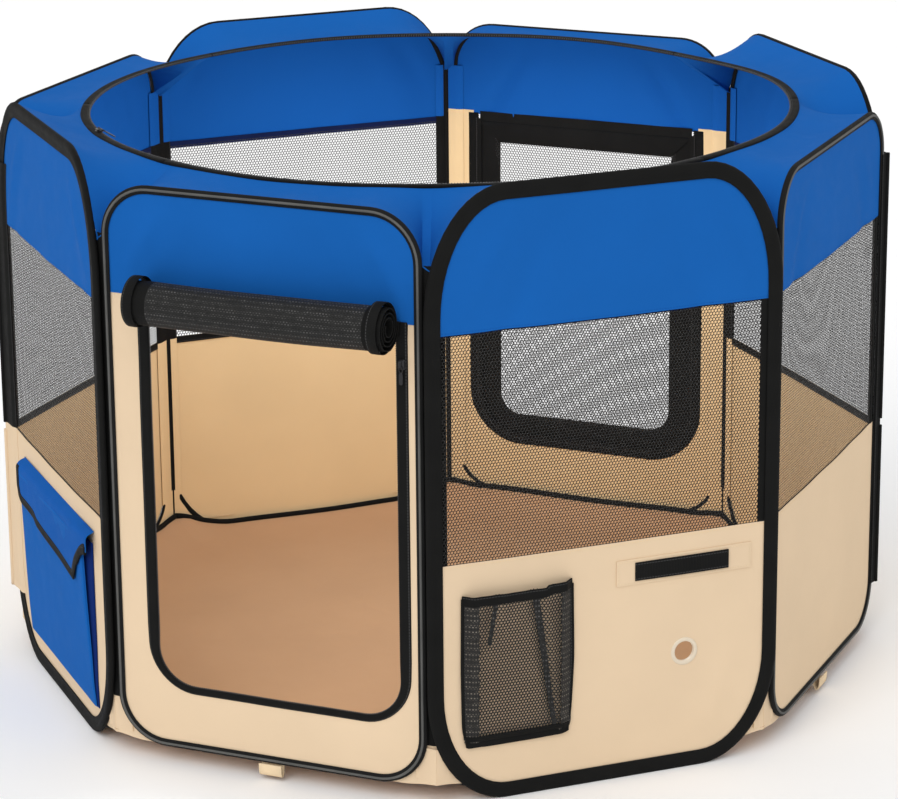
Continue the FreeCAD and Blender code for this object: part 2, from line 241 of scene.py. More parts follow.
# ---- materials
class Nodes:
    """A short way to write one procedural material."""

    def __init__(self, name):
        self.material = bpy.data.materials.new(name)
        self.material.use_nodes = True
        self.tree = self.material.node_tree
        self.shader = self.tree.nodes["Principled BSDF"]

    def join(self, value, socket):
        if isinstance(value, bpy.types.NodeSocket):
            self.tree.links.new(value, socket)
        else:
            socket.default_value = value

    def add(self, kind, inputs, **settings):
        node = self.tree.nodes.new("ShaderNode" + kind)
        for key, value in settings.items():
            setattr(node, key, value)
        for key, value in inputs.items():
            self.join(value, node.inputs[key])
        return node

    def math(self, operation, *values):
        return self.add("Math", dict(enumerate(values)), operation=operation).outputs[0]

    def vector(self, operation, *values):
        inputs = dict(enumerate(values))
        node = self.add("VectorMath", inputs, operation=operation)
        return node.outputs["Value" if operation == "LENGTH" else "Vector"]

    def parts(self, vector):
        return self.add("SeparateXYZ", {0: vector}).outputs[:3]

    def mix(self, factor, first, second):
        node = self.add("Mix", {0: factor, 6: first, 7: second}, data_type="RGBA")
        return node.outputs[2]

    def scale(self, value, low, high, new_low, new_high):
        inputs = {1: low, 2: high, 3: new_low, 4: new_high, 0: value}
        return self.add("MapRange", inputs).outputs[0]

    def uv(self):
        return self.add("UVMap", {}, uv_map="UVMap").outputs[0]

    def where(self):
        return self.add("TexCoord", {}).outputs["Object"]

    def noise(self, scale, detail=3.0, vector=None):
        inputs = {"Vector": vector or self.where(), "Scale": scale, "Detail": detail}
        return self.add("TexNoise", inputs).outputs[0]

    def weave(self, pitch):
        """Height of a plain weave whose threads are pitch metres apart."""
        across, along, _ = self.parts(self.uv())
        turn = math.pi / pitch
        warp = self.math("ABSOLUTE", self.math("SINE", self.math("MULTIPLY", across, turn)))
        weft = self.math("ABSOLUTE", self.math("SINE", self.math("MULTIPLY", along, turn)))
        cell = self.vector("SCALE", self.uv())
        cell.node.inputs["Scale"].default_value = 1 / pitch
        over = self.add("TexChecker", {"Vector": cell, "Scale": 1.0}).outputs["Fac"]
        warp_up = self.math("MULTIPLY", warp, over)
        weft_up = self.math("MULTIPLY", weft, self.math("SUBTRACT", 1.0, over))
        return self.math("ADD", warp_up, weft_up)

    def bump(self, height, distance, strength=1.0, below=None):
        inputs = {"Height": height, "Distance": distance, "Strength": strength}
        if below is not None:
            inputs["Normal"] = below
        return self.add("Bump", inputs).outputs[0]

    def set(self, base, rough, normal=None, alpha=None, **fixed):
        self.join(base, self.shader.inputs["Base Color"])
        self.join(rough, self.shader.inputs["Roughness"])
        if normal is not None:
            self.join(normal, self.shader.inputs["Normal"])
        if alpha is not None:
            self.join(alpha, self.shader.inputs["Alpha"])
        for name, value in fixed.items():
            self.shader.inputs[name.replace("_", " ")].default_value = value
        return self.material


def shade(colour, factor):
    return (*[c * factor for c in colour], 1)


def coated_cloth(name, colour, pitch=0.0007, sheen=0.005, rough=0.74):
    """Coated woven polyester: fine weave with painted shade in its valleys, soft creases and a slightly
    uneven dye.
    """
    nodes = Nodes(name)
    weave = nodes.weave(pitch)
    dye = nodes.mix(nodes.noise(9.0, 4.0), shade(colour, 0.93), shade(colour, 1.06))
    # painted shade: the weave's valleys between threads are darkened
    weave_valley_shade = nodes.scale(weave, 0.0, 0.5, 0.86, 1.0)
    tone = nodes.mix(weave_valley_shade, shade(colour, 0.7), dye)
    creases = nodes.bump(nodes.noise(26.0, 2.0), 0.0011, 0.35)
    normal = nodes.bump(weave, 0.00012, 0.6, below=creases)
    gloss = nodes.scale(nodes.noise(60.0, 2.0), 0.3, 0.7, rough - 0.06, rough + 0.06)
    return nodes.set(
        tone, gloss, normal, Sheen_Weight=sheen, Sheen_Roughness=0.4, Specular_IOR_Level=0.025
    )


def woven_tape(name, colour, rib=0.0011, stitch_rows=(), thread=(0.05, 0.05, 0.05), rough=0.7):
    """Ribbed binding tape, with rows of stitches where its width is stitch_rows metres."""
    nodes = Nodes(name)
    along, across, _ = nodes.parts(nodes.uv())
    ribs = nodes.math("SINE", nodes.math("MULTIPLY", along, 2 * math.pi / rib))
    twill = nodes.math("SINE", nodes.math("MULTIPLY", across, 2 * math.pi / (rib * 0.8)))
    height = nodes.math("MULTIPLY_ADD", twill, 0.35, ribs)
    tone = nodes.mix(nodes.noise(40.0, 3.0), shade(colour, 0.75), shade(colour, 1.35))
    normal = nodes.bump(height, 0.00012, 0.7)
    sewn = None
    for row in stitch_rows:
        off = nodes.math("ABSOLUTE", nodes.math("SUBTRACT", across, row))
        on_row = nodes.math("LESS_THAN", off, 0.00045)
        share = nodes.math("FRACT", nodes.math("DIVIDE", along, STITCH * MM))
        stitch = nodes.math("MULTIPLY", on_row, nodes.math("LESS_THAN", share, 0.74))
        sewn = stitch if sewn is None else nodes.math("MAXIMUM", sewn, stitch)
    if sewn is not None:
        tone = nodes.mix(sewn, tone, shade(thread, 1.0))
        normal = nodes.bump(sewn, 0.0003, 0.8, below=normal)
    gloss = nodes.scale(nodes.noise(80.0, 2.0), 0.3, 0.7, rough - 0.08, rough + 0.06)
    return nodes.set(
        tone, gloss, normal, Sheen_Weight=0.01, Sheen_Roughness=0.5, Specular_IOR_Level=0.06
    )


def hexagons(nodes, pitch):
    """0 in the middle of each mesh hole, 1 halfway to the next."""
    cell = (pitch, pitch * math.sqrt(3), 1.0)
    half = tuple(c / 2 for c in cell)
    minus = tuple(-c for c in half)
    distances = []
    for start in (nodes.uv(), nodes.vector("ADD", nodes.uv(), half)):
        nearest = nodes.vector("ABSOLUTE", nodes.vector("WRAP", start, half, minus))
        x, y, _ = nodes.parts(nearest)
        slant = nodes.math("MULTIPLY_ADD", x, 0.5, nodes.math("MULTIPLY", y, math.sqrt(0.75)))
        distances.append(nodes.math("MAXIMUM", x, slant))
    return nodes.math("DIVIDE", nodes.math("MINIMUM", *distances), pitch / 2)


def knitted_mesh(name, colour, pitch, openness, closed=None):
    """Knitted mesh with hexagonal holes, which are clear, or, where a hole colour is given, filled with
    a painted view of the dark layers behind: their own dark colour, with painted shade and painted
    light.
    """
    nodes = Nodes(name)
    distance = hexagons(nodes, pitch)
    solid = nodes.scale(distance, openness - 0.05, openness + 0.05, 0.0, 1.0)
    tone = nodes.mix(nodes.noise(220.0, 3.0), shade(colour, 0.55), shade(colour, 1.7))
    normal = nodes.bump(distance, 0.0004, 0.8)
    if closed is not None:
        # painted shade and light in the closed holes: the layers' dark colour, darker and lighter at
        # random, and lighter in painted streaks along the layers
        _, across, _ = nodes.parts(nodes.uv())
        ridges = nodes.math("SINE", nodes.math("MULTIPLY", across, 2 * math.pi / 0.0061))
        painted_hole_light = nodes.math("MULTIPLY_ADD", ridges, 0.25, nodes.noise(140.0, 5.0))
        painted_hole_light = nodes.scale(painted_hole_light, 0.42, 0.85, 0.0, 1.0)
        painted_hole_shade = nodes.mix(painted_hole_light, shade(closed, 0.15), shade(closed, 3.2))
        tone = nodes.mix(solid, painted_hole_shade, tone)
        solid = None
    return nodes.set(
        tone, 0.62, normal, alpha=solid, Sheen_Weight=0.02, Specular_IOR_Level=0.2
    )


def moulded(name, colour, rough, metallic=0.0, grain=400.0, depth=0.00006):
    """Moulded plastic or plated metal, with fine scuffs."""
    nodes = Nodes(name)
    scuff = nodes.noise(grain, 5.0)
    tone = nodes.mix(nodes.noise(30.0, 2.0), shade(colour, 0.92), shade(colour, 1.06))
    gloss = nodes.scale(scuff, 0.3, 0.7, rough - 0.07, rough + 0.09)
    return nodes.set(tone, gloss, nodes.bump(scuff, depth, 0.5), Metallic=metallic)


def make_materials():
    black, thread = (0.0085, 0.0085, 0.0082), (0.045, 0.045, 0.045)
    return {
        "blue": coated_cloth("blue_cloth_outside", (0.0095, 0.116, 0.43)),
        # the inside faces' blue: a darker copy of the outside blue, which is painted shade
        "blue_in_painted_shade": coated_cloth("blue_cloth_inside_painted_shade", (0.0085, 0.1, 0.4)),
        # painted shade: a much darker blue for the pouch's bellows, which lies in shade
        "blue_bellows_painted_shade": coated_cloth("blue_cloth_shaded", (0.005, 0.022, 0.14)),
        "beige": coated_cloth("beige_cloth_outside", (0.78, 0.6, 0.41)),
        # the inside faces' beige: a warmer, brighter copy of the outside beige, which is painted bounce
        # light and light through the cloth
        "beige_in_painted_bounce_light": coated_cloth("beige_cloth_inside_painted_bounce_light", (0.84, 0.62, 0.35)),
        "floor": coated_cloth("floor_cloth", (0.55, 0.33, 0.185), pitch=0.0008),
        "tape": woven_tape("black_tape", black, stitch_rows=(0.0024,), thread=thread),
        "seam": woven_tape("black_seam_binding", black, stitch_rows=(0.0016,), thread=thread),
        "navy": woven_tape("navy_seam_binding", (0.006, 0.012, 0.055), stitch_rows=(0.002,)),
        "piping": woven_tape("piping_cloth", (0.012, 0.012, 0.012), rib=0.0008, thread=thread),
        "core": woven_tape("piping_core", (0.11, 0.11, 0.105), rib=0.0008, rough=0.5),
        "webbing": woven_tape(
            "beige_webbing", (0.74, 0.58, 0.38), rib=0.0016, thread=(0.6, 0.45, 0.28)
        ),
        "strap": woven_tape("black_webbing", black, rib=0.0018, stitch_rows=(0.002, 0.018)),
        "mesh": knitted_mesh("black_mesh", (0.02, 0.0195, 0.019), HOLE_PITCH * MM, 0.83),
        "pocket_mesh": knitted_mesh("pocket_mesh", (0.02, 0.0195, 0.019), HOLE_PITCH * MM, 0.72),
        # the rolled and doubled meshes' holes are filled with painted shade of the layers behind them
        "rolled": knitted_mesh(
            "rolled_mesh", (0.012, 0.012, 0.0115), 0.0034, 0.5, closed=(0.034, 0.033, 0.032)
        ),
        "doubled": knitted_mesh(
            "doubled_mesh", (0.018, 0.017, 0.016), 0.0029, 0.5, closed=(0.062, 0.055, 0.046)
        ),
        "plastic": moulded("cream_plastic", (0.72, 0.62, 0.48), 0.38),
        "metal": moulded("zip_metal", (0.03, 0.03, 0.032), 0.32, metallic=0.7),
        "teeth": moulded("zip_teeth", (0.02, 0.02, 0.021), 0.36),
        "steel": moulded("spring_steel", (0.55, 0.56, 0.58), 0.3, metallic=1.0),
    }


make_camera()
make_studio()
MATERIALS = make_materials()


# ---- mesh building
def spaced(low, high, count):
    return np.linspace(low, high, count)


def eased(low, high, count):
    """Places that crowd towards both ends, for a cloth with rounded corners."""
    t = np.linspace(0, 1, count)
    return low + (high - low) * (0.35 * t + 0.65 * (0.5 - 0.5 * np.cos(math.pi * t)))


def smooth(t):
    t = np.clip(t, 0, 1)
    return t * t * (3 - 2 * t)


def around(count):
    """Evenly spaced angles round a full turn."""
    return np.linspace(0, 2 * math.pi, count + 1)[:-1]


def quarter_drop(share):
    """How far a quarter circle of radius 1 has fallen away: 0 at 0, and 1 at 1."""
    return 1 - np.sqrt(1 - np.clip(share, 0, 1) ** 2)


def lengths(points):
    """Running length along a row of points."""
    steps = np.linalg.norm(np.diff(points, axis=0), axis=1)
    return np.concatenate([[0], np.cumsum(steps)])


def resampled(line, at):
    """The places at given running lengths along a row of points."""
    run = lengths(line)
    return np.column_stack([np.interp(at, run, column) for column in line.T])


class Skin:
    """Collects faces with their own UV places and material slots, and makes one object of them."""

    def __init__(self):
        self.points, self.faces, self.uvs, self.slots = [], [], [], []
        self.count = 0

    def add_points(self, points):
        points = np.asarray(points, float).reshape(-1, 3)
        self.points.append(points)
        self.count += len(points)
        return self.count - len(points)

    def grid(self, points, uv=None, slot=0, wrap_rows=False, wrap_cols=False, keep=None):
        """A grid of quads. uv is in metres, and is measured along the grid if it isn't given."""
        points = np.asarray(points, float)
        rows, cols = points.shape[:2]
        first = self.add_points(points)
        if uv is None:
            round_cols = np.concatenate([points[rows // 2], points[rows // 2, :1]])
            round_rows = np.concatenate([points[:, cols // 2], points[:1, cols // 2]])
            across, up = np.meshgrid(lengths(round_cols), lengths(round_rows))
            uv = np.stack([across, up], -1) * MM
        else:
            uv = np.pad(np.asarray(uv, float), ((0, 1), (0, 1), (0, 0)), mode="edge")
        r = np.arange(rows if wrap_rows else rows - 1)
        c = np.arange(cols if wrap_cols else cols - 1)
        r, c = (a.ravel() for a in np.meshgrid(r, c, indexing="ij"))
        slots = np.broadcast_to(slot, (rows, cols))[r, c]
        if keep is not None:
            chosen = np.asarray(keep)[r, c]
            r, c, slots = r[chosen], c[chosen], slots[chosen]
        corners = [(r, c), (r, c + 1), (r + 1, c + 1), (r + 1, c)]
        faces = [first + (a % rows) * cols + (b % cols) for a, b in corners]
        self.faces += np.stack(faces, -1).tolist()
        self.uvs += np.stack([uv[a, b] for a, b in corners], 1).tolist()
        self.slots += slots.tolist()
        return first

    def face(self, indices, slot=0):
        """One flat face, such as an end cap."""
        allpoints = np.concatenate(self.points)[list(indices)]
        flat = allpoints - allpoints.mean(axis=0)
        _, _, directions = np.linalg.svd(flat, full_matrices=False)
        self.faces.append(list(indices))
        self.uvs.append((flat @ directions[:2].T * MM).tolist())
        self.slots.append(slot)

    def make(self, name, materials, thick=None, merge=False, sharp=False, back=0):
        """The object. thick makes a sheet of it, and back is how many slots on its back face is."""
        mesh = bpy.data.meshes.new(name)
        points = np.concatenate(self.points) * MM
        mesh.from_pydata(points.tolist(), [], self.faces)
        layer = mesh.uv_layers.new(name="UVMap")
        layer.data.foreach_set("uv", [x for face in self.uvs for corner in face for x in corner])
        mesh.polygons.foreach_set("material_index", self.slots)
        for key in materials:
            mesh.materials.append(MATERIALS[key])
        obj = new_object(name, mesh)
        tidy(mesh, merge)
        if thick is not None:
            layers = obj.modifiers.new("layers", "SOLIDIFY")
            layers.thickness = thick * MM
            layers.offset = 0
            layers.material_offset = back
            apply_modifiers(obj)
        shade_smooth(obj.data, sharp or thick is not None)
        return obj

    def solid(self, name, materials, **how):
        """The object, with its closed surface's faces turned outwards."""
        obj = self.make(name, materials, **how)
        face_out(obj.data)
        return obj


def bar(name, points, materials):
    """A solid whose closed section goes down the grid's rows, and which ends at its end columns."""
    skin = Skin()
    first = skin.grid(points, wrap_rows=True)
    rows, cols = points.shape[:2]
    skin.face([first + r * cols for r in range(rows)])
    skin.face([first + r * cols + cols - 1 for r in range(rows)])
    return skin.solid(name, materials)


def cloth(name, points, materials, thick, uv=None, slot=0, **how):
    """A sheet of cloth on one grid of points."""
    skin = Skin()
    skin.grid(points, uv, slot=slot)
    return skin.make(name, materials, thick, **how)


def tidy(mesh, merge):
    """Joins points that meet, where merge is set, and drops faces that have no area."""
    builder = bmesh.new()
    builder.from_mesh(mesh)
    if merge:
        bmesh.ops.remove_doubles(builder, verts=builder.verts, dist=0.02 * MM)
    bmesh.ops.dissolve_degenerate(builder, dist=0.002 * MM, edges=builder.edges)
    builder.to_mesh(mesh)
    builder.free()
    mesh.update()


def face_out(mesh):
    """Turns a closed mesh's faces outwards."""
    builder = bmesh.new()
    builder.from_mesh(mesh)
    bmesh.ops.recalc_face_normals(builder, faces=builder.faces)
    builder.to_mesh(mesh)
    builder.free()


def shade_smooth(mesh, sharp):
    mesh.polygons.foreach_set("use_smooth", [True] * len(mesh.polygons))
    if sharp:
        mesh.set_sharp_from_angle(angle=math.radians(40))
    mesh.update()


def apply_modifiers(obj):
    """The object's mesh with its modifiers made real."""
    graph = bpy.context.evaluated_depsgraph_get()
    graph.update()
    mesh = bpy.data.meshes.new_from_object(obj.evaluated_get(graph))
    obj.modifiers.clear()
    obj.data = mesh


def ride(obj, body, replaces=()):
    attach(obj, body)
    if replaces:
        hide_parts(*replaces)
    return obj


def offset_loop(path, thick):
    """A closed section: an open path in the plane, and its copy thick to its right, back again."""
    path = np.asarray(path, float)
    steps = np.gradient(path, axis=0)
    steps /= np.linalg.norm(steps, axis=1)[:, None]
    normals = np.stack([steps[:, 1], -steps[:, 0]], axis=1)
    return np.concatenate([path, (path + normals * thick)[::-1]])


def hoop_ring(name, panel, section, materials, wave=0.0):
    """A closed section of (inset, out) pairs swept round a panel's hoop."""
    rows = []
    for inset, out in section:
        flat = hoop_outline(panel, inset)
        step = np.arange(len(flat)) * 0.37
        lift = out + wave * np.sin(step + panel) * (inset > 2)
        rows.append(np.column_stack([flat, lift]))
    skin = Skin()
    skin.grid(place(panel, np.array(rows)), wrap_rows=True, wrap_cols=True)
    return skin.solid(name, materials)


def tube(name, line, radius, materials, sides=10, flat=1.0):
    """A round bead along a row of points in the row frame, in millimetres."""
    line = np.asarray(line, float)
    steps = np.gradient(line, axis=0)
    steps /= np.linalg.norm(steps, axis=1)[:, None]
    side = np.cross(steps, UP)
    weak = np.linalg.norm(side, axis=1) < 0.2
    side[weak] = np.cross(steps[weak], [1.0, 0, 0])
    side /= np.linalg.norm(side, axis=1)[:, None]
    up = np.cross(side, steps)
    rings = [
        line + radius * (side * math.cos(a) + up * math.sin(a) * flat) for a in around(sides)
    ]
    return bar(name, np.array(rings), materials)


def small_boxes(name, centres, along, across, out, size, materials):
    """Many little tapered blocks, such as stitches or zip teeth, as one object."""
    corners = np.array([[x, y, z] for x in (-1, 1) for y in (-1, 1) for z in (-1, 1)], float)
    shrink = np.where(corners[:, 2:] > 0, 0.7, 1.0)
    faces = ((0, 1, 3, 2), (4, 6, 7, 5), (0, 4, 5, 1), (2, 3, 7, 6), (0, 2, 6, 4), (1, 5, 7, 3))
    length, width, height = (v / 2 for v in size)
    skin = Skin()
    for centre, a, b, c in zip(centres, along, across, out):
        block = (
            corners[:, 0:1] * a * length * shrink
            + corners[:, 1:2] * b * width * shrink
            + corners[:, 2:] * c * height
        )
        first = skin.add_points(centre + block)
        for corner in faces:
            skin.faces.append([first + i for i in corner])
            skin.uvs.append([[0, 0], [0.001, 0], [0.001, 0.001], [0, 0.001]])
            skin.slots.append(0)
    return skin.solid(name, materials)


def along_line(line, pitch):
    """Evenly spaced places on a line of points, with the direction at each."""
    line = np.asarray(line, float)
    at = np.arange(pitch / 2, lengths(line)[-1], pitch)
    direction = resampled(line, at + 0.5) - resampled(line, at - 0.5)
    return resampled(line, at), direction / np.linalg.norm(direction, axis=1)[:, None]


def row_of(name, panel, line, pitch, size, material):
    """Stitches or teeth along a line of (along, up, out) points on a panel."""
    places, directions = along_line(line, pitch)
    places = place(panel, places)
    outward, sideways = axes(panel)
    ahead = sideways * directions[:, 0:1] + UP * directions[:, 1:2]
    ahead /= np.linalg.norm(ahead, axis=1)[:, None]
    out = np.broadcast_to(outward, ahead.shape)
    return small_boxes(name, places, ahead, np.cross(out, ahead), out, size, [material])


# ---- the hoops' outlines
def hoop_edges(panel):
    """Left, right, low and high edge of a panel's hoop, from its CAD binding."""
    name = "edge_tape" if panel in TAPED else "edge_piping"
    low, high = extent(f"{name}_{panel}", panel)
    return low[0], high[0], low[1], high[1]


HOOPS = {panel: hoop_edges(panel) for panel in range(1, SIDES + 1)}
DOOR_NODE = {2: "door_rim_front", 6: "door_rim_rear"}
BLUE_FROM = {p: extent(f"blue_band_{p}", p)[0][1] for p in HOOPS}
MESH_FROM = extent("mesh_window_3", 3)[0][1]


def corners_of(panel, inset):
    chosen = TAPE_CORNERS if panel in TAPED else PIPING_CORNERS
    return [(rx - inset, rz - inset) for rx, rz in chosen]


def quarter(centre, radii, first, count):
    """A quarter of an ellipse, anticlockwise from first degrees."""
    turn = np.radians(np.linspace(first, first + 90, count))
    return np.column_stack(
        [centre[0] + radii[0] * np.cos(turn), centre[1] + radii[1] * np.sin(turn)]
    )


def straight(start, end, count):
    return np.linspace(start, end, count + 1)[1:-1]


def hoop_outline(panel, inset, corner=14, side=22):
    """A hoop's closed outline, drawn in by inset: anticlockwise from the foot of its left corner."""
    left, right, low, high = HOOPS[panel]
    left, right, low, high = left + inset, right - inset, low + inset, high - inset
    (bx, bz), (tx, tz) = corners_of(panel, inset)
    lower_left = quarter((left + bx, low + bz), (bx, bz), 180, corner)
    lower_right = quarter((right - bx, low + bz), (bx, bz), 270, corner)
    upper_right = quarter((right - tx, high - tz), (tx, tz), 0, corner)
    upper_left = quarter((left + tx, high - tz), (tx, tz), 90, corner)
    runs = []
    loop = [lower_left, lower_right, upper_right, upper_left]
    for k, piece in enumerate(loop):
        runs += [piece, straight(piece[-1], loop[(k + 1) % 4][0], side)]
    return np.concatenate(runs)


def u_outline(left, right, low, top, radii, corner=14, side=20):
    """An open outline from the top left, down and round to the top right."""
    rx, rz = radii
    first = quarter((left + rx, low + rz), (rx, rz), 180, corner)
    second = quarter((right - rx, low + rz), (rx, rz), 270, corner)
    return np.concatenate(
        [
            np.linspace((left, top), first[0], side + 1)[:-1],
            first,
            straight(first[-1], second[0], side),
            second,
            np.linspace(second[-1], (right, top), side + 1)[1:],
        ]
    )


def hoop_curve(panel, s, inset, top):
    """Height of a hoop's top or bottom edge above the place s along the panel."""
    left, right, low, high = HOOPS[panel]
    left, right, low, high = left + inset, right - inset, low + inset, high - inset
    rx, rz = corners_of(panel, inset)[1 if top else 0]
    reach = np.maximum(np.maximum(left + rx - s, s - (right - rx)), 0) / rx
    drop = rz * quarter_drop(reach)
    return high - drop if top else low + drop


def door_edges(panel):
    """Left, right and low edge of a doorway's cloth, and the height of its top."""
    low, high = extent(DOOR_NODE[panel], panel)
    return low[0] + RIM_OUT, high[0] - RIM_OUT, low[1] + RIM_OUT, high[1]


def binding_width(panel):
    return TAPE_WIDTH if panel in TAPED else PIPING_WIDTH


def cloth_inset(panel):
    return TAPE_CLOTH_INSET if panel in TAPED else PIPING_CLOTH_INSET


# ---- how the cloth lies
FOLDS = (
    # share of the width and height at the fold's middle, its slope, reach and depth in mm
    (0.13, 0.86, 0.6, 34.0, 2.6),
    (0.24, 0.84, 0.45, 46.0, -2.0),
    (0.88, 0.86, -0.6, 36.0, 2.4),
    (0.77, 0.82, -0.4, 44.0, -1.8),
    (0.50, 0.90, 0.05, 70.0, 1.2),
    (0.12, 0.10, -0.5, 46.0, 1.0),
    (0.88, 0.12, 0.5, 44.0, 0.9),
    (0.55, 0.20, 0.0, 110.0, 0.8),
)


def hoop_margin(panel, s, z):
    """Distance in from the inner edge of the hoop's binding, in millimetres."""
    left, right, _, _ = HOOPS[panel]
    width = binding_width(panel)
    sides = np.minimum(s - left, right - s)
    top = hoop_curve(panel, s, 0, True) - z
    bottom = z - hoop_curve(panel, s, 0, False)
    return np.minimum(np.minimum(sides, top), bottom) - width


def drape(panel, s, z):
    """How far the panel's cloth stands out of the hoop's plane: a slight swell and its folds."""
    s, z = np.asarray(s, float), np.asarray(z, float)
    left, right, low, high = HOOPS[panel]
    u, v = (s - left) / (right - left), (z - low) / (high - low)
    lie = 1.6 * np.sin(math.pi * np.clip(u, 0, 1)) * np.sin(math.pi * np.clip(v, 0, 1))
    for k, (at_u, at_v, slope, reach, depth) in enumerate(FOLDS):
        shift = 0.05 * math.sin(panel * 2.3 + k * 1.7)
        swing = 1 + 0.5 * math.sin(panel * 1.3 + k * 2.9)
        across = (s - left) - (at_u + shift) * (right - left)
        across = across - slope * ((z - low) - at_v * (high - low))
        along = ((v - at_v) / 0.22) ** 2
        lie = lie + depth * swing * np.exp(-((across / (reach * 0.35)) ** 2) - along)
    lie = lie + 0.25 * np.sin(s / 17.0 + panel) * np.sin(z / 29.0 + panel * 2)
    return lie * smooth(hoop_margin(panel, s, z) / 55.0)


def cloth_grid(panel, s, z, lift):
    """Points on the panel's cloth with their UV places, from grids of s and z."""
    points = place(panel, np.stack([s, z, drape(panel, s, z) + lift], -1))
    return points, np.stack([s, z], -1) * MM


def cloth_columns(panel, low, high, rows, cols):
    """Grids of s and z for cloth between two heights, which are numbers or functions of s."""
    left, right, _, _ = HOOPS[panel]
    inset = cloth_inset(panel)
    s = eased(left + inset, right - inset, cols)
    bottom = low(s) if callable(low) else np.full_like(s, low)
    top = high(s) if callable(high) else np.full_like(s, high)
    t = np.linspace(0, 1, rows)[:, None]
    return np.broadcast_to(s, (rows, cols)), bottom + (top - bottom) * t


def sheet_area(obj):
    """Half the surface of a closed thin sheet, in square metres."""
    return sum(p.area for p in obj.data.polygons) / 2


def stretched(width, length, area=None):
    """Works out a bound on a sheet's area from its width and length, and keeps nothing of it."""
    if area is not None:
        area = min(max(area, 0.31 * width * length), width * length)


# ---- hoops and their binding
TAPE_PATH = (
    (16.5, 1.5), (14.5, 1.75), (11.5, 1.85), (8.8, 2.1), (6.6, 2.75), (4.6, 3.05), (2.8, 2.95),
    (1.2, 2.2), (0.3, 1.1), (0.0, 0.0), (0.3, -1.1), (1.2, -2.2), (2.8, -2.95), (4.6, -3.0),
    (6.2, -2.4), (7.6, -1.5),
)
PIPING_PATH = (
    (8.0, 1.3), (6.6, 1.8), (5.0, 2.5), (3.2, 2.8), (1.5, 2.3), (0.4, 1.2), (0.0, 0.0),
    (0.4, -1.2), (1.5, -2.3), (3.2, -2.8), (4.8, -2.3), (6.0, -1.3),
)
CORE_AT = (3.5, 2.9)
CORE_RADIUS = 1.45


def hoops():
    core_ring = [
        (CORE_AT[0] + CORE_RADIUS * math.cos(a), CORE_AT[1] + CORE_RADIUS * math.sin(a))
        for a in around(8)
    ]
    for panel in HOOPS:
        taped = panel in TAPED
        kind = "tape" if taped else "piping"
        section = offset_loop(TAPE_PATH if taped else PIPING_PATH, 0.6)
        wave = 0.12 if taped else 0.05
        binding = hoop_ring(f"{kind}_binding_{panel}", panel, section, [kind], wave)
        ride(binding, f"panel_{panel}", [f"edge_{kind}_{panel}"])
        if not taped:
            core = hoop_ring(f"piping_core_{panel}", panel, core_ring, ["core"])
            ride(core, f"panel_{panel}")
        wire = frame["nodes"][f"hoop_wire_{panel}"].data.materials
        wire.clear()
        wire.append(MATERIALS["steel"])


# ---- panels' cloth
def blue_bands():
    for panel in HOOPS:
        left, right, _, high = HOOPS[panel]
        low = BLUE_FROM[panel]

        def top(s, panel=panel):
            return hoop_curve(panel, s, cloth_inset(panel), True)

        points, uv = cloth_grid(panel, *cloth_columns(panel, low, top, 22, 54), CLOTH_LIFT)
        band = cloth(f"blue_cloth_{panel}", points, ["blue", "blue_in_painted_shade"], CLOTH_THICK, uv, back=1)
        ride(band, f"panel_{panel}", [f"blue_band_{panel}"])
        stretched((right - left) * MM, (high - low) * MM, sheet_area(band))


HOLE_COLS = (29, 37)  # the wall's grid columns and rows that the eyelet's hole takes out
HOLE_ROWS = (8, 16)
HOLE_HALF = 30.0


def wall_grid(panel):
    """The lower part of a window panel. Panel 3's has the hole of its grommet."""
    inset = cloth_inset(panel)

    def bottom(s):
        return hoop_curve(panel, s, inset, False)

    skin = Skin()
    if panel != 3:
        s, z = cloth_columns(panel, bottom, MESH_FROM + HEM, 22, 46)
        skin.grid(*cloth_grid(panel, s, z, CLOTH_LIFT))
        return skin
    low, high = extent("spout_grommet", 3)
    middle = (low + high) / 2
    left, right, _, _ = HOOPS[panel]
    s_line = np.concatenate(
        [
            eased(left + inset, middle[0] - HOLE_HALF, 30)[:-1],
            spaced(middle[0] - HOLE_HALF, middle[0] + HOLE_HALF, 9),
            eased(middle[0] + HOLE_HALF, right - inset, 14)[1:],
        ]
    )
    foot = bottom(s_line)
    below, above = middle[1] - HOLE_HALF, middle[1] + HOLE_HALF
    z_rows = [foot + (below - foot) * t for t in np.linspace(0, 1, 9)[:-1]]
    z_rows += [np.full_like(s_line, z) for z in spaced(below, above, 9)]
    z_rows += [np.full_like(s_line, z) for z in spaced(above, MESH_FROM + HEM, 9)[1:]]
    z = np.array(z_rows)
    s = np.broadcast_to(s_line, z.shape)
    (c_low, c_high), (r_low, r_high) = HOLE_COLS, HOLE_ROWS
    keep = np.ones(z.shape, bool)
    keep[r_low:r_high, c_low:c_high] = False
    skin.grid(*cloth_grid(panel, s, z, CLOTH_LIFT), keep=keep)
    ring = [(c, r_low) for c in range(c_low, c_high)]
    ring += [(c_high, r) for r in range(r_low, r_high)]
    ring += [(c, r_high) for c in range(c_high, c_low, -1)]
    ring += [(c_low, r) for r in range(r_high, r_low, -1)]
    outer = np.array([(s[r, c], z[r, c]) for c, r in ring])
    offset = outer - middle[:2]
    inner = middle[:2] + offset / np.linalg.norm(offset, axis=1)[:, None] * EYELET_HOLE
    share = np.linspace(0, 1, 5)[:, None, None]
    flat = outer + (inner - outer) * share
    points, uv = cloth_grid(panel, flat[..., 0], flat[..., 1], CLOTH_LIFT)
    uv = np.concatenate([uv, uv[:, :1]], axis=1)
    skin.grid(np.concatenate([points, points[:, :1]], axis=1), uv)
    return skin


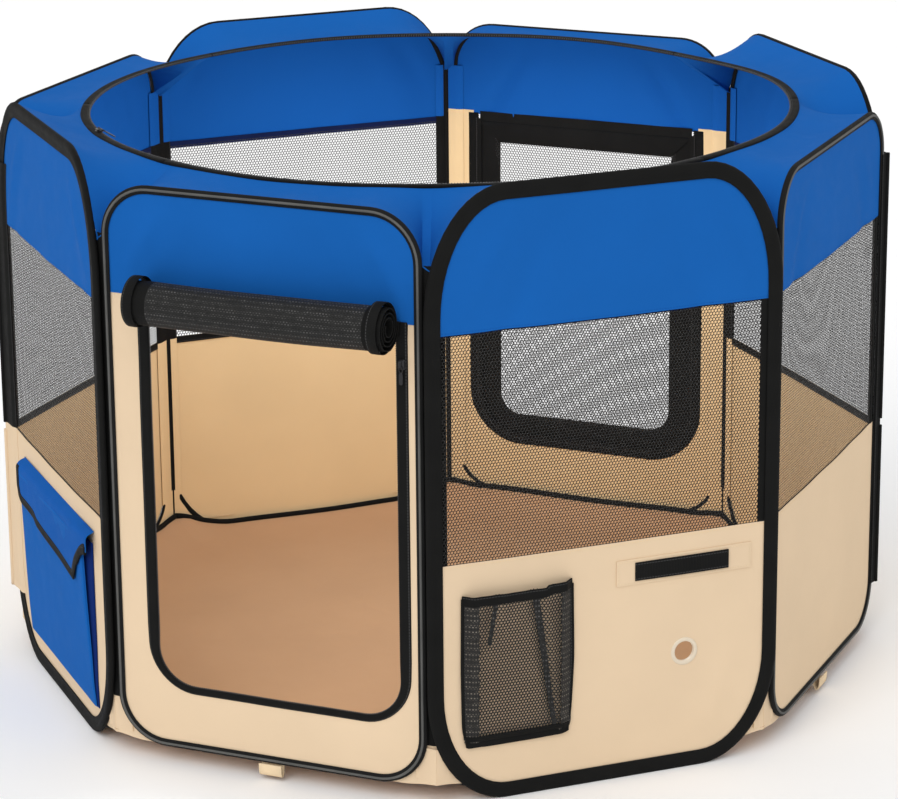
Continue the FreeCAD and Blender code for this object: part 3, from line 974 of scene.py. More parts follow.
def door_wall_grid(panel):
    """The cloth round a doorway, from the hoop to the doorway's edge."""
    left, right, low, _ = HOOPS[panel]
    inset = cloth_inset(panel)
    seam = BLUE_FROM[panel] + HEM
    radii = corners_of(panel, inset)[0]
    outer = u_outline(left + inset, right - inset, low + inset, seam, radii)
    d_left, d_right, d_low, _ = door_edges(panel)
    corner = DOOR_CORNER[panel]
    inner = u_outline(d_left, d_right, d_low, seam, (corner, corner))
    share = np.linspace(0, 1, 12)[:, None, None]
    flat = outer + (inner - outer) * share
    skin = Skin()
    lift = CLOTH_LIFT - CLOTH_LIFT * share[..., 0] - 0.8 * smooth((flat[..., 1] - seam + 12) / 12)
    points, uv = cloth_grid(panel, flat[..., 0], flat[..., 1], lift=lift)
    skin.grid(points, uv)
    return skin


def walls():
    for panel in HOOPS:
        left, right, low, _ = HOOPS[panel]
        door = panel in DOORS
        skin = door_wall_grid(panel) if door else wall_grid(panel)
        wall = skin.make(
            f"beige_cloth_{panel}", ["beige", "beige_in_painted_bounce_light"], CLOTH_THICK, merge=True, back=1
        )
        ride(wall, f"panel_{panel}", [f"wall_{panel}"])
        high = BLUE_FROM[panel] if door else MESH_FROM
        stretched((right - left) * MM, (high - low) * MM, sheet_area(wall))


def windows():
    for panel in WINDOWS:
        left, right, _, _ = HOOPS[panel]
        high = BLUE_FROM[panel]
        s, z = cloth_columns(panel, MESH_FROM - 1, high + HEM, 24, 40)
        points, uv = cloth_grid(panel, s, z, MESH_LIFT)
        window = cloth(f"window_mesh_{panel}", points, ["mesh"], MESH_THICK, uv)
        ride(window, f"panel_{panel}", [f"mesh_window_{panel}"])
        stretched((right - left) * MM, (high - MESH_FROM) * MM)


def flat_strip(name, panel, s, low, high, lift, material, thick, rows):
    """A level strip of tape on a panel's cloth."""
    z = np.linspace(low, high, rows)[:, None] + 0 * s
    s = np.broadcast_to(s, z.shape)
    points, _ = cloth_grid(panel, s, z, lift=lift)
    uv = np.stack([s * MM, (z - low) * MM], -1)
    return cloth(name, points, [material], thick, uv)


def seam_tapes():
    """The bindings over the seams inside, and the upright band at one side of each window."""
    for panel in WINDOWS:
        left, right, _, _ = HOOPS[panel]
        s = spaced(left + 7, right - 7, 40)
        edge = right - binding_width(panel) + 2
        side = spaced(edge - SIDE_BAND, edge, 5)
        window, blue = MESH_FROM, BLUE_FROM[panel]
        low = window + HEM - SEAM_TAPE
        for kind, across, start, end, lift, material, thick, rows in (
            ("low_seam", s, low, low + SEAM_TAPE, INNER_LIFT, "seam", 0.8, 4),
            ("high_seam", s, blue - 2, blue - 2 + SEAM_TAPE, INNER_LIFT, "navy", 0.8, 4),
            ("side_band", side, window + 4, blue + 2, 0.25, "seam", 0.7, 26),
        ):
            name = f"{kind}_{panel}"
            piece = flat_strip(name, panel, across, start, end, lift, material, thick, rows)
            ride(piece, f"panel_{panel}")


def seam_stitches():
    """Rows of stitches beside the seams, on the outside."""
    size = (STITCH * 0.72, 0.55, 0.4)
    for panel in HOOPS:
        left, right, _, _ = HOOPS[panel]
        inset = binding_width(panel) + 1
        s = spaced(left + inset, right - inset, 60)
        rows = [("blue", BLUE_FROM[panel] + 2.2, "blue_in_painted_shade", "blue_cloth")]
        if panel in WINDOWS:
            rows.append(("wall", MESH_FROM + HEM - 2.2, "beige_in_painted_bounce_light", "beige_cloth"))
        for kind, height, material, slot in rows:
            z = np.full_like(s, height)
            line = np.column_stack([s, z, drape(panel, s, z) + CLOTH_LIFT + CLOTH_THICK / 2])
            stitches = row_of(f"{kind}_stitches_{panel}", panel, line, STITCH, size, material)
            ride(stitches, f"panel_{panel}")


# ---- doorways
RIM_SECTION = (
    (-7.0, 0.0), (-6.7, 1.2), (-5.6, 1.75), (-2.0, 2.0), (1.5, 2.3), (4.4, 2.3), (5.6, 1.6),
    (6.0, 0.0), (5.6, -1.6), (4.4, -2.3), (1.5, -2.3), (-2.0, -2.0), (-5.6, -1.75), (-6.7, -1.2),
)


def door_outline(panel, inset, top=None):
    left, right, low, high = door_edges(panel)
    radius = DOOR_CORNER[panel] - inset
    top = high if top is None else top
    return u_outline(left + inset, right - inset, low + inset, top, (radius, radius))


def door_lie(panel, flat):
    """The drape along a doorway's edge."""
    return drape(panel, flat[:, 0], flat[:, 1])


def door_rims():
    for panel in DOORS:
        rows = []
        top = BLUE_FROM[panel] + 2
        edge = door_outline(panel, 0, top)
        narrow = 0.62 + 0.38 * smooth((edge[:, 1:] - edge[:, 1].min()) / 70.0)
        for inset, out in RIM_SECTION:
            shift = (door_outline(panel, inset, top) - edge) * narrow
            rows.append(np.column_stack([edge + shift, out + 0.9 * door_lie(panel, edge)]))
        rim = bar(f"{DOORS[panel]}_doorway_rim", place(panel, np.array(rows)), ["tape"])
        ride(rim, f"panel_{panel}", [DOOR_NODE[panel]])
        flat = edge + (door_outline(panel, RIM_IN - 0.4, top) - edge) * narrow
        line = np.column_stack([flat, 0.9 * door_lie(panel, edge) + 0.2])
        name = f"{DOORS[panel]}_zip_teeth"
        teeth = row_of(name, panel, line, TOOTH_PITCH, (1.5, 2.4, 1.8), "teeth")
        ride(teeth, f"panel_{panel}")


ROLL_TURNS = 3.6
ROLL_INNER = 7.5
ROLL_BAND = 20.0


def roll_profile(outer, samples):
    """The rolled door seen from its end, as (up, out) from the roll's middle, outside first."""
    turn = np.linspace(0, ROLL_TURNS * 2 * math.pi, samples)
    radius = outer - (outer - ROLL_INNER) * turn / turn[-1]
    radius = radius * (1 + 0.012 * np.sin(turn * 2 + 0.7) + 0.012 * np.sin(turn * 9 + 1))
    return np.column_stack([-radius * np.sin(turn), -radius * np.cos(turn)])


def door_roll():
    low, high = extent("door_roll", 2)
    middle = (low + high) / 2
    profile = roll_profile((high[1] - low[1]) / 2 - 0.8, 170)
    s = spaced(low[0] + 9, high[0] - 7, 44)
    squeeze = 1 - 0.035 * np.exp(-(((s - s[0]) / 9) ** 2))
    squeeze = squeeze - 0.035 * np.exp(-(((s - s[-1]) / 9) ** 2))
    squeeze += 0.01 * np.sin(s / 31.0) - 0.012 * np.exp(-(((s - 66) / 14) ** 2))
    sag = -1.6 * np.sin(math.pi * (s - s[0]) / (s[-1] - s[0]))
    up = middle[1] + sag + profile[:, 0:1] * squeeze
    out = middle[2] + profile[:, 1:2] * squeeze
    across = np.broadcast_to(s, up.shape)
    tail_up = np.linspace(BLUE_FROM[2] + 2, up[0], 7)[:-1]
    tail_out = np.linspace(np.full_like(s, 1.9), out[0], 7)[:-1]
    tail = np.stack([np.broadcast_to(s, tail_up.shape), tail_up, tail_out], -1)
    body = np.concatenate([tail, np.stack([across, up, out], -1)])
    edge = np.minimum(s - s[0], s[-1] - s)[None, :] < ROLL_BAND
    slot = np.where(edge, 1, 0) * np.ones((len(body), 1), int)
    run = lengths(body[:, 20])
    uv = np.stack(np.broadcast_arrays(s[None, :] * MM, run[:, None] * MM), -1)
    roll = cloth("rolled_door", place(2, body), ["rolled", "tape"], 1.1, uv, slot)
    ride(roll, "panel_2", ["door_roll"])
    skin = Skin()
    turn = around(40)
    for at in ROLL_TIES:
        rings = []
        height = middle[1] + np.interp(at, s, sag)
        for offset, grow in ((-6, 0.0), (-5.6, 0.35), (0, 0.5), (5.6, 0.35), (6, 0.0), (0, -0.6)):
            radius = (high[1] - low[1]) / 2 + grow
            up, out = height + radius * np.cos(turn), middle[2] + radius * np.sin(turn)
            rings.append(np.column_stack([np.full_like(turn, at + offset), up, out]))
        skin.grid(place(2, np.array(rings)), wrap_rows=True, wrap_cols=True)
    bands = skin.solid("roll_ties", ["strap"])
    ride(bands, "panel_2", ["door_roll_ties"])


def rear_door():
    """The zipped rear door: its mesh, its wide border and the strip it hangs from."""
    panel = 6
    inset = RIM_IN + FLAP_GAP
    top = door_edges(panel)[3] - FLAP_GAP
    outer = door_outline(panel, inset, top)
    inner = door_outline(panel, inset + FLAP_BORDER, top - FLAP_BORDER)
    rear_guard(panel)
    rear_border(panel, outer, inner)
    s_low, s_high = inner[0][0] - 6, inner[-1][0] + 6
    z_low, z_high = inner[:, 1].min() - 6, top - FLAP_BORDER + 6
    s_grid = np.broadcast_to(eased(s_low, s_high, 34), (30, 34))
    radius = DOOR_CORNER[panel] - inset - FLAP_BORDER + 6
    reach = np.maximum(np.maximum(s_low + radius - s_grid, s_grid - (s_high - radius)), 0) / radius
    foot = z_low + radius * quarter_drop(reach)
    z_grid = foot + (z_high - foot) * np.linspace(0, 1, 30)[:, None]
    swell = 3.0 * np.sin(math.pi * (s_grid - s_low) / (s_high - s_low))
    swell = swell * np.sin(math.pi * (z_grid - z_low) / (z_high - z_low))
    grid = np.stack([s_grid, z_grid, swell], -1)
    leaf = cloth("rear_door_leaf", place(panel, grid), ["mesh"], MESH_THICK, grid[..., :2] * MM)
    ride(leaf, "rear_door", ["rear_door_mesh"])
    stretched((s_high - s_low) * MM, (z_high - z_low) * MM, sheet_area(leaf))
    z_hinge = joint_named("rear_door_swing")["pos_m"][2] / MM
    s = spaced(outer[0][0] + 1, outer[-1][0] - 1, 40)
    z = np.linspace(z_hinge - 9, z_hinge + 9, 13)[:, None] + 0 * s
    grid = np.stack([np.broadcast_to(s, z.shape), z, 0 * z], -1)
    strip = cloth("rear_door_hinge_strip", place(panel, grid), ["strap"], 0.9, grid[..., :2] * MM)
    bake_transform(strip)


def rear_border(panel, outer, inner):
    """The door's wide binding: a U round its sides and foot, and a bar across its top."""
    lift = np.array([0, 1.2, 1.5, 1.5, 1.5, 1.2, 0.3])[:, None]
    share = np.linspace(0, 1, 7)[:, None, None]
    sides = outer + (inner - outer) * share
    ends = outer[[0, -1]] + (inner[[0, -1]] - outer[[0, -1]]) * share
    across = spaced(0, 1, 30)[:, None]
    top_bar = ends[:, :1] + (ends[:, 1:] - ends[:, :1]) * across
    skin = Skin()
    for flat, lie in ((sides, drape(panel, *outer.T) * 0.9), (top_bar, 0 * top_bar[..., 0])):
        for side in (1, -1):
            points = np.stack([flat[..., 0], flat[..., 1], lie + side * lift], -1)
            skin.grid(place(panel, points), flat * MM)
    border = skin.solid("rear_door_binding", ["tape"], merge=True)
    ride(border, "rear_door", ["rear_door_border"])


def rear_guard(panel):
    """The strip of cloth behind the rear zip."""
    lie = 0.9 * door_lie(panel, door_outline(panel, 0)) - 2.8
    first, last = door_outline(panel, 3.0), door_outline(panel, 11.0)
    guard = first + (last - first) * np.linspace(0, 1, 3)[:, None, None]
    guard = np.concatenate([guard, np.broadcast_to(lie[:, None], guard.shape[:2] + (1,))], -1)
    guard = cloth("rear_zip_guard", place(panel, guard), ["seam"], 0.6)
    ride(guard, "panel_6")


# ---- zip sliders
def rounded_block(skin, frame_at, size, bevel=0.28):
    """A block with rounded edges, as rings of a superellipse."""
    origin, across, up, out = frame_at
    width, height, thick = size
    turn = around(24)
    rings = []
    for level in (-1, -0.8, 0, 0.8, 1):
        shrink = 1 - bevel * abs(level) ** 6
        x = np.sign(np.cos(turn)) * np.abs(np.cos(turn)) ** 0.55 * width / 2 * shrink
        y = np.sign(np.sin(turn)) * np.abs(np.sin(turn)) ** 0.55 * height / 2 * shrink
        rings.append(
            origin + x[:, None] * across + y[:, None] * up + out * (level * thick / 2)
        )
    first = skin.grid(np.array(rings), wrap_cols=True)
    skin.face([first + k for k in range(24)])
    skin.face([first + 4 * 24 + k for k in range(24)])


def ring_loop(skin, frame_at, radii, wire):
    """A small oval ring, such as the bail of a slider or the eye of its pull."""
    origin, across, up, out = frame_at
    turn = around(24)
    rings = []
    for a in around(8):
        x = (radii[0] + wire * math.cos(a)) * np.cos(turn)
        y = (radii[1] + wire * math.cos(a)) * np.sin(turn)
        rings.append(
            origin + x[:, None] * across + y[:, None] * up + out * wire * math.sin(a)
        )
    skin.grid(np.array(rings), wrap_rows=True, wrap_cols=True)


def slider_piece(name, origin, across, up, out, node, body, squash=None, hang=None):
    """A zip slider: two plates, the bail over them and a pull that hangs from it."""
    skin = Skin()
    rounded_block(skin, (origin + out * 0.6, across, up, out), (8.0, 11.0, 1.0))
    rounded_block(skin, (origin + out * 2.6, across, up, out), (7.2, 10.0, 0.9))
    rounded_block(skin, (origin + out * 1.6 + up * 3.6, across, up, out), (2.4, 2.2, 2.0))
    ring_loop(skin, (origin + out * 3.2, out, up, across), (1.3, 3.4), 0.5)
    side, rise, face = (across, up, out) if hang is None else hang
    pull = origin + out * 3.9 - rise * 9.5
    rounded_block(skin, (pull - rise * 4.5, side, rise, face), (4.6, 13.0, 1.0))
    ring_loop(skin, (pull + rise * 4.8, side, rise, face), (1.9, 3.2), 0.55)
    obj = skin.solid(name, ["metal"], sharp=True)
    ride(obj, body, [node])
    if squash is not None:
        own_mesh(obj)
    return obj


def door_sliders():
    for panel, name, node, body in (
        (2, "front_zip_pull", "front_zip_slider", "front_zip"),
        (6, "rear_zip_pull", "rear_zip_slider", "rear_zip"),
    ):
        low, high = extent(node, panel)
        outward, side = axes(panel)
        middle = [(low[0] + high[0]) / 2, high[1] - 6.5, low[2] - 0.2]
        origin = place(panel, middle)
        slider_piece(name, origin, side, UP, outward, node, body)


# ---- blue side pocket on panel 1
POUCH_FLAP_TIP = 292.0
BELLOWS_TOP = 316.0  # where the pouch's front turns in to its bellows, at the mouth
BELLOWS_FOOT = 331.0
FLAP_BINDING = 9.0


def side_pocket():
    """The pouch, its front swelling towards the mouth, with a folded bellows at its right in painted
    shade.
    """
    panel = 1
    low, high = extent("side_pocket", panel)
    left, right, bottom, mouth, front = low[0], high[0], low[1], high[1], high[2]
    levels = np.concatenate([[0, 0.003, 0.01], spaced(0.025, 1, 30)])
    rows = []
    for v in levels:
        turn_in = BELLOWS_FOOT + (BELLOWS_TOP - BELLOWS_FOOT) * v**0.8
        face = spaced(left + 2.5, turn_in - 1.5, 40)
        s = np.concatenate(
            [
                [left, left + 0.2, left + 0.9],
                face,
                [turn_in - 0.4, turn_in, turn_in - 1.0 - 3.0 * v, turn_in + 0.5],
                spaced(turn_in + 3.0, right - 0.5, 4),
                [right],
            ]
        )
        rise = np.concatenate(
            [[0, 0.5, 0.85], np.ones(40), [0.9, 0.65, 0.36, 0.2], [0.24, 0.2, 0.22, 0.18], [0]]
        )
        foot = min(1.0, (v / 0.01) ** 0.6)
        z = bottom + (mouth - bottom) * v
        depth = (4.0 + (front - 4.2) * v**0.75) * foot
        share = np.clip((s - left) / (turn_in - left), 0, 1)
        folds = 0.6 * np.sin(share * 17 + 0.8) * v + 0.35 * np.sin(share * 39 + v * 3) * v * v
        folds = folds - 0.7 * np.sin(share * math.pi) * math.sin(math.pi * v)
        out = 1.4 + rise * (depth - 1.4 + folds * foot * np.sin(math.pi * share) ** 0.3)
        out = np.minimum(out, front) + drape(panel, s, z + 0 * s)
        rows.append(np.column_stack([s, np.full_like(s, z), out]))
    rows = np.array(rows)
    # painted shade: the bellows' columns take the much darker blue
    slot = np.zeros(rows.shape[1], int)
    slot[44:] = 1
    pouch = cloth("side_pocket_pouch", place(panel, rows), ["blue", "blue_bellows_painted_shade"], 1.0, slot=slot)
    ride(pouch, "panel_1", ["side_pocket"])
    rim_line = rows[-1, 2:45] + np.array([0, -1.0, 0.1])
    binding = tube("side_pocket_hem", place(panel, rim_line), 1.1, ["blue"], flat=2.2)
    ride(binding, "panel_1")


def flap_outline(panel):
    """The flap's lower edge: places along the panel, and the height of the edge at each."""
    low, high = extent("side_pocket_flap", panel)
    tip = POUCH_FLAP_TIP
    s = np.concatenate([spaced(low[0], tip, 44), spaced(tip, high[0], 22)[1:]])
    share = np.clip((s - low[0]) / (tip - low[0]), 0, 1)
    step = 5.0 * (smooth((s - 130) / 14.0) - 0.5)
    fall = low[1] + 20.0 - 20.0 * share**1.5 - step * np.sin(math.pi * share)
    beyond = np.clip((s - tip) / (high[0] - tip), 0, 1)
    climb = low[1] + 46.0 * np.sin(0.5 * math.pi * beyond) ** 0.8
    edge = np.where(s < tip, fall, climb)
    return s, edge + 18.0 * quarter_drop(1 - (s - low[0]) / 20.0)


def side_flap():
    """The pocket's bound flap. Its top edge is sewn to the wall, and it bends there."""
    panel = 1
    low, high = extent("side_pocket_flap", panel)
    hinge = joint_named("pocket_flap_hinge")
    _, axis_z, axis_out = local(panel, np.array(hinge["pos_m"]) / MM)
    s, edge = flap_outline(panel)
    top = axis_z + 5.0
    share = np.linspace(0, 1, 22)[:, None]
    z = top + (edge - top) * share
    across = np.broadcast_to(s, z.shape)
    fall = np.clip((axis_z + 3.0 - z) / 9.0, 0, 1)
    full = high[2] - 0.7
    out = 2.6 + (full - 2.6) * np.sqrt(fall * (2 - fall))
    out = out + 0.45 * np.sin(s / 21.0) * fall - 0.5 * fall * smooth((s - 300) / 40.0)
    points = place(panel, np.stack([across, z, out], -1))
    flap = cloth("side_pocket_flap_cloth", points, ["blue", "blue_in_painted_shade"], 1.0, back=1)
    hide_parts("side_pocket_flap")
    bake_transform(flap)
    first = 4
    left_edge = np.column_stack([across[first:, 0], z[first:, 0], out[first:, 0]])
    lower = np.column_stack([across[-1], z[-1], out[-1]])
    line, _ = along_line(np.concatenate([left_edge[:-1], lower]), 2.2)
    bound = bound_edge("side_pocket_flap_binding", panel, line, FLAP_BINDING)
    ride(bound, "pocket_flap")
    knot = lower[-16:] + np.array([-1.0, 1.5, 0.3])
    knot = banded(panel, knot, 5.0, 1.6, "side_pocket_flap_tab", "tape")
    ride(knot, "pocket_flap")


def bound_edge(name, panel, line, width):
    """Tape folded over a cloth's edge: line is the edge, with the cloth on its left."""
    line = np.asarray(line, float)
    steps = np.gradient(line, axis=0)
    steps[:, 2] = 0
    steps /= np.maximum(np.linalg.norm(steps, axis=1)[:, None], 1e-6)
    inward = np.column_stack([-steps[:, 1], steps[:, 0], np.zeros(len(line))])
    for _ in range(6):
        inward[1:-1] = (inward[:-2] + 2 * inward[1:-1] + inward[2:]) / 4
    inward /= np.linalg.norm(inward, axis=1)[:, None]
    section = (
        (width, 0.55), (width * 0.6, 0.8), (width * 0.2, 0.95), (-0.7, 0.7), (-1.0, 0.0),
        (-0.7, -0.7), (width * 0.2, -0.95), (width * 0.6, -0.8), (width, -0.55),
    )
    rows = [line + inward * a + UP * b for a, b in section]
    return bar(name, place(panel, np.array(rows)), ["tape"])


# ---- mesh pocket, strap and grommet
def mesh_pocket():
    panel = 3
    low, high = extent("mesh_pocket", panel)
    left, right, bottom, mouth, front = low[0], high[0], low[1], high[1], high[2]
    t = np.linspace(0, 1, 46)
    v = np.linspace(0, 1, 40)[:, None]
    rounding = quarter_drop(1 - v / 0.09)
    start, end = left + 1 + 5.0 * rounding, right - 1 - 12.0 * rounding
    s = start + (end - start) * t
    z = bottom + (mouth - bottom) * v + 0 * t
    edge = smooth(np.minimum(t, 1 - t) / 0.10)
    foot = smooth(v / 0.07)
    out = 2.0 + (front - 5.0) * edge * foot * (0.55 + 0.45 * v)
    for start, end, depth, fade_from in ((0.30, 0.05, 2.2, 0.66), (0.635, 0.84, 3.4, 0.0)):
        middle = end + (start - end) * v
        reach = 0.035 + 0.02 * v
        fade = smooth((v - fade_from) / 0.3)
        out = out - depth * fade * edge * foot * np.exp(-(((t - middle) / reach) ** 2))
        ridge = np.exp(-(((t - middle - 1.6 * reach) / reach) ** 2))
        out = out + 0.6 * depth * fade * edge * foot * ridge
    out = np.minimum(out, front - 1.0) + drape(panel, s, z)
    points, uv = place(panel, np.stack([s, z, out], -1)), np.stack([s, z], -1) * MM
    pouch = cloth("mesh_pocket_pouch", points, ["pocket_mesh"], MESH_THICK, uv)
    ride(pouch, "panel_3", ["mesh_pocket"])
    for k, (start, end, low_v) in enumerate(((0.635, 0.84, 0.08), (0.30, 0.05, 0.68))):
        v_line = np.linspace(low_v, 0.97, 30)
        width = (0.032 if k == 0 else 0.02) * (0.6 + 0.4 * v_line)
        centre = end + (start - end) * v_line
        rows = []
        for side in (-1, 0, 1):
            t_line = centre + side * width
            s_line = left + (right - left) * t_line
            z_line = bottom + (mouth - bottom) * v_line
            n_line = np.array(
                [np.interp(a, t, out[int(round(b * 39))]) for a, b in zip(t_line, v_line)]
            )
            rows.append(np.column_stack([s_line, z_line, n_line + 0.8 + 0.5 * (side == 0)]))
        pocket_strip(f"mesh_pocket_pleat_{k + 1}", rows, "rolled", 0.5)
    frame_line = [
        (left + 2, mouth - 3), (left + 1, (mouth + bottom) / 2), (left + 2, bottom + 8),
        (left + 7, bottom + 1), (right - 15, bottom + 1), (right - 4, bottom + 8),
        (right, (mouth + bottom) / 2), (right - 1, mouth - 2),
    ]
    path = smooth_path(frame_line, 90)
    lie = drape(panel, path[:, 0], path[:, 1])
    path = np.column_stack([path, 2.4 + lie])
    rim = banded(panel, path, 2.6, 1.5, "mesh_pocket_binding", "tape")
    ride(rim, "panel_3")
    for side, (start, end) in enumerate(((0.0, 16.0), (right - left - 15.0, right - left))):
        rows = []
        for share in spaced(0, 1, 7):
            ragged = 0.9 * np.sin(v[:, 0] * 61 + side * 2) * (share if side == 0 else 1 - share)
            s_side = left + start + (end - start) * share + ragged
            s_side = np.clip(s_side, s[:, 0] + 0.3, s[:, -1] - 0.3)
            n_side = [np.interp(a, b, c) for a, b, c in zip(s_side, s, out)]
            rows.append(np.column_stack([s_side, z[:, 0], np.array(n_side) + 0.9]))
        pocket_strip(f"mesh_pocket_side_{side + 1}", rows, "doubled", 0.5)
    foot_s = spaced(left + 3, right - 4, 50)
    from_end = np.minimum((foot_s - left) / 7.0, (right - foot_s) / 16.0)
    foot_low = bottom - 0.5 + 9.0 * quarter_drop(1 - from_end)
    rows = []
    for share in spaced(0, 1, 7):
        foot_z = foot_low + (bottom + 13.0 - foot_low) * share
        level = (foot_z - bottom) / (mouth - bottom)
        near = np.clip(np.round(level * 39), 0, 39).astype(int)
        foot_n = [np.interp(a, s[k], out[k]) for a, k in zip(foot_s, near)]
        rows.append(np.column_stack([foot_s, foot_z, np.maximum(foot_n, 3.0) + 1.1]))
    pocket_strip("mesh_pocket_foot_band", rows, "tape", 1.2)
    top_s = spaced(left + 0.5, right - 0.5, 50)
    ripple = 0.35 * np.sin(top_s / 7.0) + 0.25 * np.sin(top_s / 3.1)
    step = 3.0 * smooth((top_s - right + 31) / 3)
    top_edge = smooth(np.minimum(top_s - left, right - top_s) / 12.0)
    top_out = 2.6 + (front - 4.2) * top_edge + drape(panel, top_s, mouth + 0 * top_s)
    top_row = np.column_stack([top_s, mouth - 4.5 + step + 0.5 * ripple, top_out + 0.3 * ripple])
    top_band = banded(panel, top_row, 5.4, 1.4, "mesh_pocket_elastic", "tape")
    ride(top_band, "panel_3")


def pocket_strip(name, rows, material, thick):
    """A strip of cloth sewn to the mesh pocket, from its rows of (along, up, out) points."""
    rows = np.array(rows)
    piece = cloth(name, place(3, rows), [material], thick, rows[..., :2] * MM)
    ride(piece, "panel_3")


def smooth_path(points, count):
    """A smooth line through a few points."""
    points = np.asarray(points, float)
    line = resampled(points, np.linspace(0, lengths(points)[-1], count))
    for _ in range(10):
        line[1:-1] = (line[:-2] + 2 * line[1:-1] + line[2:]) / 4
    return line


def banded(panel, line, half_width, half_thick, name, material):
    """A soft flat band along a line of (along, up, out) points on a panel."""
    steps = np.gradient(line, axis=0)
    steps[:, 2] = 0
    steps /= np.linalg.norm(steps, axis=1)[:, None]
    side = np.column_stack([-steps[:, 1], steps[:, 0], np.zeros(len(line))])
    section = []
    for a in around(16):
        x = math.copysign(abs(math.cos(a)) ** 0.6, math.cos(a))
        y = math.copysign(abs(math.sin(a)) ** 0.8, math.sin(a))
        section.append((x * half_width, y * half_thick))
    rows = [line + side * a + UP * b for a, b in section]
    return bar(name, place(panel, np.array(rows)), [material])


def bottle_strap():
    panel = 3
    low, high = extent("strap_patch", panel)
    s = spaced(low[0], high[0], 30)
    z = np.linspace(low[1], high[1], 10)[:, None] + 0 * s
    s_grid = np.broadcast_to(s, z.shape)
    points, uv = cloth_grid(panel, s_grid, z, PATCH_LIFT)
    patch = cloth("bottle_patch", points, ["beige"], 0.9, uv)
    ride(patch, "panel_3", ["strap_patch"])
    (left, right), (foot, top) = ((low[k] + PATCH_SEAM, high[k] - PATCH_SEAM) for k in (0, 1))
    loop = [(left, foot), (right, foot), (right, top), (left, top), (left, foot)]
    line, _ = along_line(loop, 1.0)
    line = np.column_stack([line, drape(panel, line[:, 0], line[:, 1]) + PATCH_LIFT + 0.5])
    stitches = row_of("patch_stitches", panel, line, STITCH, (2.4, 0.5, 0.4), "webbing")
    ride(stitches, "panel_3")
    low, high = extent("bottle_strap", panel)
    s = spaced(low[0] - 8, high[0], 60)
    z = np.linspace(low[1], high[1], 9)[:, None] + 0 * s
    s_grid = np.broadcast_to(s, z.shape)
    middle = (low[2] + high[2]) / 2
    bow = 0.5 * np.sin(math.pi * np.clip((s - low[0]) / (high[0] - low[0]), 0, 1))
    out = middle + bow + 0 * z
    points, uv = place(panel, np.stack([s_grid, z, out], -1)), np.stack([s_grid, z - low[1]], -1)
    strap = cloth("bottle_strap_webbing", points, ["strap"], 1.7, uv * MM)
    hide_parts("bottle_strap")
    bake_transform(strap)


def grommet():
    """The eyelet for a bottle's spout: two rolled flanges and a barrel."""
    panel = 3
    low, high = extent("spout_grommet", panel)
    middle = (low + high) / 2
    flange = (high[0] - low[0]) / 2
    half = (high[2] - low[2]) / 2
    bore = flange - 4.5
    section = (
        (bore, -half + 0.7), (bore, half - 0.7), (bore + 0.4, half - 0.15), (bore + 1.4, half),
        (flange - 1.6, half - 0.1), (flange - 0.5, half - 0.6), (flange, half - 1.2),
        (flange - 0.6, 0.95), (bore + 1.2, 0.95), (bore + 1.2, -0.95), (flange - 0.6, -0.95),
        (flange, -half + 1.2), (flange - 0.5, -half + 0.6), (flange - 1.6, -half + 0.1),
        (bore + 1.4, -half), (bore + 0.4, -half + 0.15),
    )
    turn = around(48)
    rows = []
    for radius, out in section:
        s, z = middle[0] + radius * np.cos(turn), middle[1] + radius * np.sin(turn)
        rows.append(np.column_stack([s, z, np.full_like(turn, out)]))
    skin = Skin()
    skin.grid(place(panel, np.array(rows)), wrap_rows=True, wrap_cols=True)
    obj = skin.solid("spout_eyelet", ["plastic"])
    ride(obj, "panel_3", ["spout_grommet"])


# ---- ground tabs
def ground_tabs():
    """A loop of webbing folded under each piped hoop."""
    for panel in HOOPS:
        if panel in TAPED:
            continue
        low, high = extent(f"ground_tab_{panel}", panel)
        path = [
            (high[1] - 3, -3.8), (high[1] - 9, -3.8), (low[1] + 6, -2.6), (low[1] + 1.2, -0.4),
            (low[1] + 1.0, 1.8), (low[1] + 4, 3.6), (low[1] + 10, 4.2), (high[1] - 11, 4.2),
        ]
        path = smooth_path(path, 26)
        s = spaced(low[0], high[0], 8)
        rows = [np.column_stack([s, np.full_like(s, z), np.full_like(s, n)]) for z, n in path]
        run, across = lengths(path)[:, None] * MM, (s - low[0])[None, :] * MM
        uv = np.stack(np.broadcast_arrays(run, across), -1)
        points = place(panel, np.array(rows))
        tab = cloth(f"ground_loop_{panel}", points, ["webbing"], 1.2, uv)
        ride(tab, f"panel_{panel}", [f"ground_tab_{panel}"])


# ---- corners
CORNERS = (
    # corner, the panel that ends there, the panel that starts there
    (4, 8, 1), (5, 1, 2), (6, 2, 3), (7, 3, 4), (0, 4, 5), (1, 5, 6), (2, 6, 7), (3, 7, 8),
)
OUTSIDE_CORNERS = (4, 0)
OPEN_CORNER = 2


def zone_slots(z_line, panel):
    """Material slots for a corner strip's side: blue above, black at a window, beige below."""
    slots = []
    for z in z_line:
        if z > BLUE_FROM[panel]:
            slots.append(1)
        elif panel in DOORS or z < MESH_FROM:
            slots.append(2)
        else:
            slots.append(0)
    return slots


FLANGE = {True: 8.5, False: 7.0}  # inner leaf of the tape or piping, which the strip covers
NARROW_REACH = 6.0  # how far an outside strip laps over a hoop
OUTER_REACH = {(4, 1): 20.0}  # (corner, panel) where it laps further


def strip_places(panel, at_end):
    """Columns of an inside strip on one side: how far from the corner, and how far in."""
    left, right, _, _ = HOOPS[panel]
    gap = SIDE - right if at_end else left
    reach = max(gap + FLANGE[panel in TAPED], 8.0)
    columns = [(d, -3.7 - 0.6 * math.exp(-d / 4)) for d in [3.6] + list(spaced(3.9, reach, 3))]
    return columns + [(reach + 2.5, -2.6), (reach + 5.0, -1.3)]


